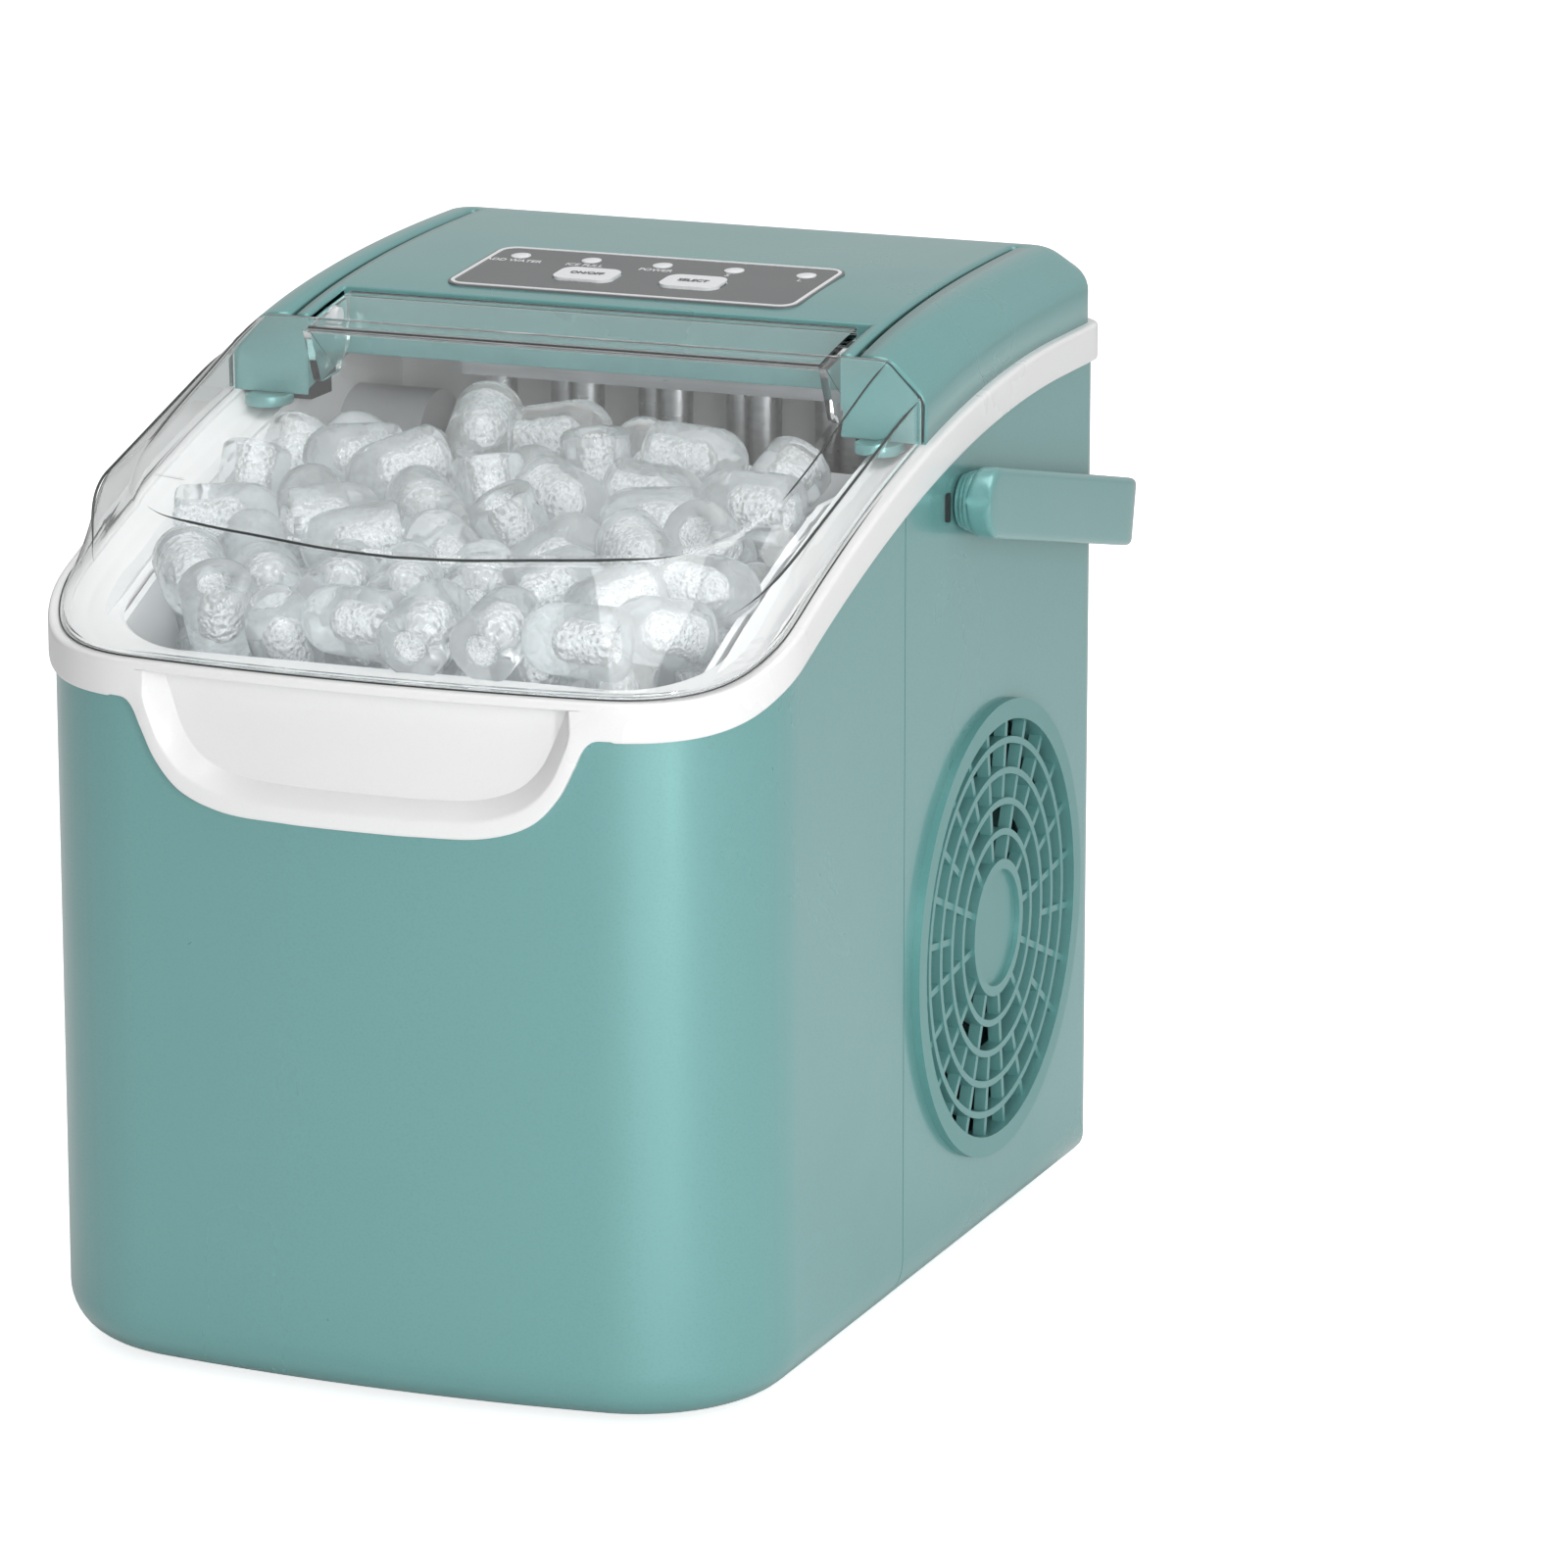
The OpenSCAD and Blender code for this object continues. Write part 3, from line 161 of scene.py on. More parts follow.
def smooth_path(points, count, closed=False):
    """A smooth curve through the given points, evenly spaced: each coordinate follows a cubic between
    neighbours whose slopes are the average of the slopes on both sides."""
    p = np.asarray(points, float)
    if closed:
        p = np.concatenate([p, p[:1]])
    s = np.concatenate([[0], np.cumsum(np.linalg.norm(np.diff(p, axis=0), axis=1))])
    chord = np.diff(p, axis=0) / np.diff(s)[:, None]
    slope = np.concatenate([chord[:1], (chord[1:] + chord[:-1]) / 2, chord[-1:]])
    if closed:
        slope[0] = slope[-1] = (chord[0] + chord[-1]) / 2

    def at(q):
        i = np.clip(np.searchsorted(s, q, side="right") - 1, 0, len(s) - 2)
        h = (s[i + 1] - s[i])[:, None]
        u = ((q - s[i])[:, None]) / h
        return (p[i] * (1 + 2 * u) * (1 - u) ** 2 + slope[i] * h * u * (1 - u) ** 2
                + p[i + 1] * u * u * (3 - 2 * u) + slope[i + 1] * h * u * u * (u - 1))

    fine = at(np.linspace(0, s[-1], 900))
    run = np.concatenate([[0], np.cumsum(np.linalg.norm(np.diff(fine, axis=0), axis=1))])
    even = np.linspace(0, run[-1], count + 1 if closed else count)
    result = np.stack([np.interp(even, run, fine[:, k]) for k in range(p.shape[1])], -1)
    return result[:-1] if closed else result


# %% [markdown]
# ## The camera
# The machine is seen from its front right, a little above, through a long lens that keeps its
# upright edges nearly parallel.

# %% Camera
camera_data = bpy.data.cameras.new("camera")
camera_data.lens, camera_data.sensor_width = 170.3, 36.0
camera_data.clip_end = 100
camera = bpy.data.objects.new("camera", camera_data)
bpy.context.scene.collection.objects.link(camera)
bpy.context.scene.camera = camera


def stand(obj, place, turn, tilt):
    """Puts obj at place with its back axis `turn` degrees round from the front and `tilt` above level."""
    a, e = math.radians(turn), math.radians(tilt)
    back = np.array([math.sin(a) * math.cos(e), -math.cos(a) * math.cos(e), math.sin(e)])
    right = np.array([math.cos(a), math.sin(a), 0.0])
    columns = [right, np.cross(back, right), back, np.asarray(place, float)]
    matrix = Matrix.Identity(4)
    for k, column in enumerate(columns):
        for r in range(3):
            matrix[r][k] = float(column[r])
    obj.matrix_world = matrix


stand(camera, (0.8489, -1.9395, 0.6699), 22.02, 13.93)
print("camera at", tuple(camera.location))

# %% [markdown]
# ## Floor and studio light
# A white room: a pale sky, dimmer on the front left, gives the ground light. A tall soft lamp at the
# front right draws the upright streak on the rounded corner, a broad one beside it lights the front
# face and a big one overhead brings out the top and the ice. The camera sees plain white all round.

# %% Stage
def lamp(name, place, target, size, power):
    """A rectangular soft lamp at place, facing target; its power is spread over its whole area."""
    data = bpy.data.lights.new(name, "AREA")
    data.shape, data.size, data.size_y, data.energy = "RECTANGLE", size[0], size[1], power
    obj = bpy.data.objects.new(name, data)
    bpy.context.scene.collection.objects.link(obj)
    away = np.asarray(place, float) - np.asarray(target, float)
    turn = math.degrees(math.atan2(away[0], -away[1]))
    stand(obj, place, turn, math.degrees(math.asin(away[2] / np.linalg.norm(away))))


lamp("strip_right", (1.35, -1.35, 0.45), (0.05, -0.10, 0.15), (0.10, 1.6), 12.0)
lamp("broad_front", (1.05, -1.95, 0.62), (0, -0.1, 0.12), (0.7, 1.0), 14.0)
lamp("overhead", (0.1, -0.1, 1.9), (0, 0, 0.2), (1.2, 1.2), 12.0)

world = bpy.data.worlds.new("studio")
bpy.context.scene.world = world
world.use_nodes = True
sky = world.node_tree
sky.nodes["Background"].inputs["Color"].default_value = (1, 1, 1, 1)
toward = sky.nodes.new("ShaderNodeVectorMath")
toward.operation = "DOT_PRODUCT"
toward.inputs[1].default_value = (-0.87, -0.5, 0.0)
sky.links.new(sky.nodes.new("ShaderNodeTexCoord").outputs["Generated"], toward.inputs[0])
dim = sky.nodes.new("ShaderNodeMapRange")
for label, v in (("From Min", 0.2), ("From Max", 0.9), ("To Min", 0.55), ("To Max", 0.08)):
    dim.inputs[label].default_value = v
sky.links.new(toward.outputs["Value"], dim.inputs["Value"])
seen = sky.nodes.new("ShaderNodeMath")
seen.operation = "MAXIMUM"
sky.links.new(dim.outputs["Result"], seen.inputs[0])
sky.links.new(sky.nodes.new("ShaderNodeLightPath").outputs["Is Camera Ray"], seen.inputs[1])
sky.links.new(seen.outputs["Value"], sky.nodes["Background"].inputs["Strength"])
bpy.context.scene.view_settings.view_transform = "Standard"


def matte(name, color, roughness):
    """A plain surface for the stage only."""
    m = bpy.data.materials.new(name)
    m.use_nodes = True
    shader = m.node_tree.nodes["Principled BSDF"]
    shader.inputs["Base Color"].default_value = (*color, 1)
    shader.inputs["Roughness"].default_value = roughness
    return m


floor_mesh = bpy.data.meshes.new("floor")
floor_mesh.from_pydata([(-30, -30, 0), (30, -30, 0), (30, 30, 0), (-30, 30, 0)], [], [(0, 1, 2, 3)])
floor_finish = matte("floor_white", (0.93, 0.93, 0.93), 0.6)
floor_finish.node_tree.nodes["Principled BSDF"].inputs["Emission Color"].default_value = (1, 1, 1, 1)
floor_tree = floor_finish.node_tree
glow = floor_tree.nodes.new("ShaderNodeMath")
glow.operation = "MULTIPLY"
glow.inputs[1].default_value = 0.75
floor_tree.links.new(floor_tree.nodes.new("ShaderNodeLightPath").outputs["Is Camera Ray"], glow.inputs[0])
floor_tree.links.new(glow.outputs["Value"], floor_tree.nodes["Principled BSDF"].inputs["Emission Strength"])
floor_mesh.materials.append(floor_finish)
floor = bpy.data.objects.new("floor", floor_mesh)
bpy.context.scene.collection.objects.link(floor)
print("lights:", len(bpy.data.lights))

# %% [markdown]
# ## Finishes
# Moulded plastic is never quite even: the mould leaves a fine grain, wiping leaves faint duller
# patches, and the pigment drifts a little. Those effects are shared, so each is a node group with
# named inputs that every material can use with its own values. The shaders stay in the materials.

# %% Shared effects
def effect(name, inputs, outputs):
    """An empty shader node group with the given (name, kind, value) inputs and (name, kind) outputs."""
    tree = bpy.data.node_groups.new(name, "ShaderNodeTree")
    for label, kind, value in inputs:
        tree.interface.new_socket(name=label, in_out="INPUT", socket_type=kind).default_value = value
    for label, kind in outputs:
        tree.interface.new_socket(name=label, in_out="OUTPUT", socket_type=kind)
    return tree, tree.nodes.new("NodeGroupInput"), tree.nodes.new("NodeGroupOutput")


def noise(tree, scale, detail=3.0, coords=None, distortion=0.0):
    """A noise texture on Object coordinates, with its scale from a number or from another socket."""
    texture = tree.nodes.new("ShaderNodeTexNoise")
    texture.inputs["Detail"].default_value = detail
    texture.inputs["Distortion"].default_value = distortion
    if coords is None:
        coords = tree.nodes.new("ShaderNodeTexCoord").outputs["Object"]
    tree.links.new(coords, texture.inputs["Vector"])
    if isinstance(scale, (int, float)):
        texture.inputs["Scale"].default_value = scale
    else:
        tree.links.new(scale, texture.inputs["Scale"])
    return texture.outputs["Fac"]


def remap(tree, value, low, high, to_low, to_high):
    """A straight-line remap of a value; its four numbers may be numbers or sockets."""
    node = tree.nodes.new("ShaderNodeMapRange")
    tree.links.new(value, node.inputs["Value"])
    for label, v in (("From Min", low), ("From Max", high), ("To Min", to_low), ("To Max", to_high)):
        if isinstance(v, (int, float)):
            node.inputs[label].default_value = v
        else:
            tree.links.new(v, node.inputs[label])
    return node.outputs["Result"]


def blend_colors(tree, factor, a, b, mode="MIX"):
    """Mixes two colours by a factor; each may be a colour tuple or a socket."""
    node = tree.nodes.new("ShaderNodeMix")
    node.data_type, node.blend_type = "RGBA", mode
    for socket, v in ((node.inputs[0], factor), (node.inputs[6], a), (node.inputs[7], b)):
        if isinstance(v, (int, float)):
            socket.default_value = v
        elif isinstance(v, tuple):
            socket.default_value = (*v, 1)
        else:
            tree.links.new(v, socket)
    return node.outputs[2]


grain, g_in, g_out = effect("mould_grain", [("Scale", "NodeSocketFloat", 900.0)],
                            [("Height", "NodeSocketFloat")])
grain.links.new(noise(grain, g_in.outputs["Scale"], 4.0), g_out.inputs["Height"])

wiped, w_in, w_out = effect(
    "wiped_surface",
    [("Color", "NodeSocketColor", (0.5, 0.5, 0.5, 1)), ("Deep", "NodeSocketColor", (0.4, 0.4, 0.4, 1)),
     ("Roughness", "NodeSocketFloat", 0.3), ("Duller", "NodeSocketFloat", 0.4)],
    [("Color", "NodeSocketColor"), ("Roughness", "NodeSocketFloat")])
patches = remap(wiped, noise(wiped, 9.0, 5.0, distortion=0.6), 0.38, 0.66, 0.0, 1.0)
specks = remap(wiped, noise(wiped, 1400.0, 1.0), 0.45, 0.75, 0.0, 0.5)
wiped.links.new(blend_colors(wiped, specks, w_in.outputs["Color"], w_in.outputs["Deep"]),
                w_out.inputs["Color"])
wiped.links.new(remap(wiped, patches, 0.0, 1.0, w_in.outputs["Roughness"], w_in.outputs["Duller"]),
                w_out.inputs["Roughness"])

frost, f_in, f_out = effect("frost", [("Scale", "NodeSocketFloat", 300.0)],
                            [("Mask", "NodeSocketFloat"), ("Height", "NodeSocketFloat")])
frost.links.new(remap(frost, noise(frost, f_in.outputs["Scale"], 6.0, distortion=1.2), 0.4, 0.62, 0.0, 1.0),
                f_out.inputs["Mask"])
ridges = frost.nodes.new("ShaderNodeTexVoronoi")
ridges.feature = "SMOOTH_F1"
frost.links.new(frost.nodes.new("ShaderNodeTexCoord").outputs["Object"], ridges.inputs["Vector"])
frost.links.new(f_in.outputs["Scale"], ridges.inputs["Scale"])
frost.links.new(ridges.outputs["Distance"], f_out.inputs["Height"])
print("effects:", [g.name for g in bpy.data.node_groups])

# %% [markdown]
# ## Plastics and metals
# One maker for moulded plastic and one for metal: colour and dullness come through the wiped
# surface, the grain goes to a Bump node, and the fixed numbers sit on the shader's own sockets.

# %% Material makers
def place_group(tree, group, **values):
    """Puts a shared effect into a material, with its inputs set by name."""
    node = tree.nodes.new("ShaderNodeGroup")
    node.node_tree = group
    for label, v in values.items():
        node.inputs[label].default_value = (*v, 1) if isinstance(v, tuple) else v
    return node


def bump(tree, height, strength, distance):
    """A Bump node on a height, feeding the shader's Normal."""
    node = tree.nodes.new("ShaderNodeBump")
    node.inputs["Strength"].default_value, node.inputs["Distance"].default_value = strength, distance
    tree.links.new(height, node.inputs["Height"])
    tree.links.new(node.outputs["Normal"], tree.nodes["Principled BSDF"].inputs["Normal"])
    return node


def moulded(name, color, roughness=0.35, grain_scale=900.0, grain_depth=0.25, coat=0.0, metallic=0.0,
            drift=0.92):
    """Moulded plastic: colour with a slight drift, wiped gloss, and mould grain as a fine bump."""
    m = bpy.data.materials.new(name)
    m.use_nodes = True
    tree = m.node_tree
    shader = tree.nodes["Principled BSDF"]
    skin = place_group(tree, wiped, Color=color, Deep=tuple(c * drift for c in color), Roughness=roughness,
                       Duller=min(roughness + 0.09, 1.0))
    tree.links.new(skin.outputs["Color"], shader.inputs["Base Color"])
    tree.links.new(skin.outputs["Roughness"], shader.inputs["Roughness"])
    shader.inputs["Metallic"].default_value = metallic
    shader.inputs["Coat Weight"].default_value = coat
    shader.inputs["Coat Roughness"].default_value = 0.07
    bump(tree, place_group(tree, grain, Scale=grain_scale).outputs["Height"], grain_depth, 0.0001)
    return m


def metal(name, color, roughness=0.3, streak=(1.0, 1.0, 1.0), depth=0.2):
    """Metal: fully metallic, with fine drawn or rolled streaks as stretched noise in colour, gloss, bump."""
    m = bpy.data.materials.new(name)
    m.use_nodes = True
    tree = m.node_tree
    shader = tree.nodes["Principled BSDF"]
    mapping = tree.nodes.new("ShaderNodeMapping")
    mapping.inputs["Scale"].default_value = streak
    tree.links.new(tree.nodes.new("ShaderNodeTexCoord").outputs["Object"], mapping.inputs["Vector"])
    lines = noise(tree, 420.0, 5.0, mapping.outputs["Vector"])
    tree.links.new(blend_colors(tree, remap(tree, lines, 0.3, 0.7, 0.0, 1.0), color,
                                tuple(c * 0.78 for c in color)), shader.inputs["Base Color"])
    tree.links.new(remap(tree, lines, 0.3, 0.7, roughness, roughness + 0.15), shader.inputs["Roughness"])
    shader.inputs["Metallic"].default_value = 1.0
    bump(tree, lines, depth, 0.0001)
    return m


TEAL = (0.165, 0.378, 0.370)
teal = moulded("teal_pearl", TEAL, 0.27, 1100.0, 0.08, coat=0.5, metallic=0.30, drift=0.88)
# The grille's teal is the body's teal made darker: painted shade for its deep slots. Its duller, less glossy
# finish is the grille's own.
grille_teal_painted_shade = moulded("grille_teal_painted_shade", (0.13, 0.33, 0.32), 0.36, 1100.0, 0.12, coat=0.2, metallic=0.2)
white = moulded("white_gloss", (0.80, 0.80, 0.80), 0.26, 1200.0, 0.06, coat=0.3, drift=0.97)
liner_white = moulded("liner_white", (0.78, 0.79, 0.79), 0.34, 1000.0, 0.10, drift=0.96)
basket_white = moulded("basket_white", (0.80, 0.81, 0.82), 0.30, 1000.0, 0.08, drift=0.96)
black_plastic = moulded("black_plastic", (0.022, 0.022, 0.024), 0.42, 800.0, 0.4)
rubber = moulded("rubber", (0.03, 0.03, 0.032), 0.75, 500.0, 0.8)
foam = moulded("foam", (0.62, 0.60, 0.55), 0.9, 260.0, 1.0)
board = moulded("circuit_board", (0.02, 0.16, 0.07), 0.38, 700.0, 0.3, coat=0.4)
panel_grey = moulded("panel_grey", (0.165, 0.17, 0.172), 0.42, 1500.0, 0.05)
panel_white = moulded("panel_white", (0.82, 0.83, 0.84), 0.3, 1500.0, 0.04)
letter_grey = moulded("letter_grey", (0.10, 0.11, 0.12), 0.5, 1500.0, 0.05)
letter_white = moulded("letter_white", (0.75, 0.78, 0.78), 0.5, 1500.0, 0.05)
motor_grey = moulded("motor_grey", (0.42, 0.43, 0.44), 0.4, 700.0, 0.3)
natural = moulded("natural_plastic", (0.72, 0.70, 0.64), 0.5, 700.0, 0.3)
copper = metal("copper", (0.80, 0.38, 0.22), 0.28)
steel = metal("steel", (0.62, 0.63, 0.64), 0.26, (0.05, 1.0, 1.0))
zinc = metal("zinc_plate", (0.55, 0.56, 0.58), 0.36)
black_steel = moulded("black_steel", (0.018, 0.018, 0.02), 0.30, 300.0, 0.5, coat=0.2)
aluminium = metal("aluminium", (0.80, 0.81, 0.82), 0.30, (1.0, 1.0, 0.04))
brass = metal("brass", (0.72, 0.52, 0.22), 0.3)
print("materials:", len(bpy.data.materials))

# %% [markdown]
# ## Finishes on the hidden works
# The compressor, the condenser, the pipes and the pump already have their true shapes, so they
# keep them and only get the right finish. The table says which material each of them wears.

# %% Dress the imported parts
DRESS = {
    "rear_housing": teal, "front_shell": teal, "top_cover": teal, "white_band": white,
    "finger_pocket": white, "base_pan": zinc, "rubber_feet": rubber, "base_screws": steel,
    "bin_liner": liner_white, "bin_insulation": foam, "ice_basket": basket_white,
    "cover_screws": steel, "control_panel": panel_grey, "power_button": panel_white,
    "select_button": panel_white, "indicator_lenses": panel_white, "control_board": board,
    "button_switches": black_plastic, "lid_hinge_pins": basket_white,
    "grille_right": grille_teal_painted_shade, "grille_left": grille_teal_painted_shade, "carry_handle": teal,
    "handle_washers": natural, "handle_screws": steel, "compressor": black_steel,
    "compressor_grommets": rubber, "compressor_bolts": steel, "start_relay": black_plastic,
    "condenser_fins": aluminium, "condenser_coil": copper, "fan_shroud": black_plastic,
    "fan_motor": black_plastic, "fan_blades": black_plastic, "filter_drier": copper,
    "capillary_tube": copper, "hot_gas_valve": brass, "discharge_pipe": copper,
    "liquid_pipe": copper, "suction_pipe": copper, "evaporator_plate": steel,
    "freezing_fingers": steel, "evaporator_tube": copper, "water_tray": natural,
    "ice_shovel": natural, "tray_bush": natural, "tray_motor": motor_grey,
    "water_pump": black_plastic, "pump_hose": natural, "water_level_sensor": natural,
    "ice_full_sensors": black_plastic, "drain_fitting": natural, "drain_hose": natural,
    "drain_plug": rubber, "cord_gland": rubber,
}
for part, finish in DRESS.items():
    if part in nodes:
        mesh = nodes[part].data
        mesh.materials.clear()
        mesh.materials.append(finish)
print("dressed:", sorted(set(nodes) - set(DRESS)), "left over")

# %% [markdown]
# ## The outline in plan
# Seen from above, the body is a bowed front, two large front corners, straight sides and two small
# rear corners. Every wall and rim of the casing follows this outline, drawn in by some amount, so
# the outline is a function of that amount alone and keeps the same points in the same order.

# %% Plan outline
FRONT_R, REAR_R, BOW_R, EDGE_R = 47.5, 10.7, 560.0, 15.3


def half_plan(inset=0.0):
    """Right half of the outline, front centre to rear centre: an arc of the bow, an arc of the front corner
    that meets it smoothly, the side's straight line, a small rear arc and half the rear."""
    hw, r, rb = HALF_W - inset, FRONT_R - inset, BOW_R - inset
    rr, ry = max(REAR_R - inset, 0.5), REAR_Y - inset
    bow_y = FRONT_Y + BOW_R
    lean = math.asin((hw - r) / (rb - r))
    arc_y = bow_y - (rb - r) * math.cos(lean)
    a = np.linspace(0, lean, 120)
    b = np.linspace(lean, math.pi / 2, 70)[1:]
    side = np.concatenate([np.linspace(arc_y, SEAM_Y, 30)[1:], np.linspace(SEAM_Y, ry - rr, 50)[1:]])
    c = np.linspace(0, math.pi / 2, 13)[1:]
    rear = np.linspace(hw - rr, 0, 40)[1:]
    return np.concatenate([
        np.stack([rb * np.sin(a), bow_y - rb * np.cos(a)], -1),
        np.stack([hw - r + r * np.sin(b), arc_y - r * np.cos(b)], -1),
        np.stack([np.full_like(side, hw), side], -1),
        np.stack([hw - rr + rr * np.cos(c), ry - rr + rr * np.sin(c)], -1),
        np.stack([rear, np.full_like(rear, ry)], -1)])


FRONT_COUNT = 120 + 69 + 29   # points of the half outline from the front centre to the seam


def whole(half):
    """A half from front to rear and its mirror image, as one closed loop."""
    other = half[1:-1][::-1] * np.array([-1.0] + [1.0] * (half.shape[1] - 1))
    return np.concatenate([half, other])


def front_part(half):
    """The front of a half outline and its mirror image, from the right seam round to the left seam."""
    part = half[:FRONT_COUNT]
    return np.concatenate([part[::-1], part[1:] * np.array([-1.0] + [1.0] * (half.shape[1] - 1))])


print("outline points:", len(whole(half_plan())))

# %% [markdown]
# ## The band's line
# Seen from the side, the white band runs level across the front and then climbs in one long S to
# the rear. It is two quadratic curves end to end. The band's lower edge dips round the finger
# pocket at the front, so a second function of x gives that edge there.

# %% Band line
def band_z(y, drop=0.0):
    """Height of the band's upper edge at any y, lowered by drop."""
    front, rear = TOP_Z - 81.2 - drop, TOP_Z - 22.6 - drop
    corner = np.array([FRONT_Y + 20, front])
    middle = np.array([REAR_Y - 148, rear])
    rise = (middle - corner) / np.linalg.norm(middle - corner) * 14.0
    t = np.linspace(0, 1, 40)[:, None]
    line = np.concatenate([
        [[FRONT_Y - 400, front]], bezier(corner - [14.0, 0], corner, corner + rise, t),
        bezier(corner + rise, middle, np.array([REAR_Y - 38, rear]), t)[1:], [[REAR_Y + 400, rear]]])
    return np.interp(y, line[:, 0], line[:, 1])


BAND_H, PROUD = 11.2, 2.0
frame_edge = smooth_path([(0, 164.8), (20, 165.0), (41, 166.4), (53.3, 171.0), (60.7, 178.7), (65.3, 187.5),
                          (68.2, 193.3), (70.6, 195.3), (75.5, 195.6), (90, 195.6)], 300)
frame_inner = smooth_path([(0, 169.8), (22, 170.0), (40, 171.4), (51.5, 175.8), (58.3, 182.5), (62.2, 190.5),
                           (65.3, 199.0), (68.8, 209.0)], 300)
mouth = smooth_path([(0, 175.5), (22, 175.7), (38.5, 177.2), (48.5, 181.2), (54.3, 187.0), (58.2, 194.5),
                     (61.2, 202.0), (63.6, 209.0)], 300)


def below_edge(x, y):
    """Height of the band's lower edge: the band's line less its depth, or the pocket's frame at the front."""
    plain = band_z(y, BAND_H)
    frame_z = np.interp(np.abs(x), frame_edge[:, 0], frame_edge[:, 1])
    return np.where((np.abs(x) < 75.5) & (y < FRONT_Y + 40), np.minimum(frame_z, plain + 0.4), plain)


print("band height at front and rear:", band_z(np.array([FRONT_Y, REAR_Y])))

# %% [markdown]
# ## The front shell
# The lower front of the body is one glossy moulding with a thin wall: a section that runs from
# under the base, round the bottom edge, up the wall and back down inside, carried round the front
# from seam to seam. A hair of chamfer at each end leaves the fine parting line of the real shell.

# %% Front shell
def shell_section(rows_from, top, tuck=0.0):
    """Stacks the outline at the insets and heights of a wall's section: outside from below to the top, then
    back down inside. The bottom edge is a quarter circle; top is an array of heights along the path."""
    turn = np.linspace(0, math.pi / 2, 14)
    outer = [(44.0, 0.0)] + [(EDGE_R * (1 - math.sin(t)), EDGE_R * (1 - math.cos(t))) for t in turn]
    inner_r = EDGE_R - WALL
    inner = [(WALL + inner_r * (1 - math.sin(t)), WALL + inner_r * (1 - math.cos(t))) for t in turn[::-1]]
    inner.append((44.0, WALL))
    rungs = []
    for inset, z in outer:
        rungs.append((inset, np.full(len(top), z)))
    for share in (0.25, 0.5, 0.75):
        rungs.append((0.0, EDGE_R + (top - EDGE_R) * share))
    rungs += [(0.0, top - 0.3), (0.3, top), (WALL - 0.3, top), (WALL, top - 0.3)]
    for inset, z in inner:
        rungs.append((inset, np.full(len(top), z)))
    stack = []
    for inset, z in rungs:
        stack.append(np.column_stack([rows_from(half_plan(inset + tuck)), z]))
    return np.stack(stack, 1)


path = front_part(half_plan())
shell_top = below_edge(path[:, 0], path[:, 1]) + 1.6
wall = shell_section(front_part, shell_top)
tucked = shell_section(front_part, shell_top, 0.35)
wall[[0, -1]] = tucked[[0, -1]]
wall[1, :, 1] = wall[0, :, 1] - 0.35
wall[-2, :, 1] = wall[-1, :, 1] - 0.35
front_skin = loft("front_skin", wall, teal, slot="teal_plastic")
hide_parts("front_shell")

# %% [markdown]
# ## The white band and its finger pocket
# The band is a proud collar with soft edges. At the front it widens into a U-shaped frame round a
# pocket for the fingers: the frame's face, a slanted bevel, then the pocket's back wall. All of it is
# one section standing upright at each point of the outline; away from the pocket the section's
# pocket corners close up to nothing.

# %% Band and pocket
POCKET_DEPTH, BEVEL_DEPTH = 13.0, 5.0
loop = whole(half_plan())
x, y = loop[:, 0], loop[:, 1]
top = band_z(y)
low = below_edge(x, y)
at_front = y < FRONT_Y + 30
lip = top - 2.6
ABSENT = 999.0   # a height above everything, where the pocket has no edge


def pocket_line(curve):
    """Height of one of the pocket's curves along the outline, and ABSENT away from the front."""
    return np.where(at_front, np.interp(np.abs(x), curve[:, 0], curve[:, 1], right=ABSENT), ABSENT)


inner_edge, mouth_edge = pocket_line(frame_inner), pocket_line(mouth)
face_end = np.minimum(inner_edge, lip)
bevel_end = np.minimum(mouth_edge, lip)
slant = np.clip((bevel_end - face_end) / np.maximum(mouth_edge - inner_edge, 0.5), 0, 1)
slant = np.where(inner_edge < lip, slant, 0.0)
bevel_in = PROUD - (PROUD + BEVEL_DEPTH) * slant
open_back = mouth_edge < lip
back_in = np.where(open_back, -POCKET_DEPTH, bevel_in)
tangent = np.roll(loop, -1, 0) - np.roll(loop, 1, 0)
normal = np.stack([tangent[:, 1], -tangent[:, 0]], -1)
normal /= np.linalg.norm(normal, axis=1, keepdims=True)
rungs = [(-3.2, low + 2.2), (0.06, low + 2.2), (0.06, low), (PROUD, low), (PROUD, face_end),
         (bevel_in, bevel_end), (back_in, bevel_end + np.where(open_back, 1.2, 0)),
         (back_in, lip), (np.where(slant > 0, PROUD - 1.2, PROUD), lip), (PROUD, lip),
         (PROUD, top), (-5.2, top), (-5.2, top - 8.6)]
reach = [0.3, 0, 0, 0.9, 0.8, 1.0, 1.6, 0.8, 0.3, 0.5, 1.7, 0.6, 0.5]
corners = np.stack([np.column_stack([loop + normal * (out + 0 * x)[:, None], z]) for out, z in rungs], 1)
band = loft("band_and_pocket", soften(corners, reach, 5), white, closed=True, slot="white_plastic",
            crease=50.0)
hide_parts("white_band", "finger_pocket")

# %% [markdown]
# Inside the band, a white flange runs round the mouth of the bin: a shallow slope from the band down
# to a short upright lip, and wider at the front, where the basket stands further back. It is one
# section carried round the front from the cover's foot on the right to the same place on the left.

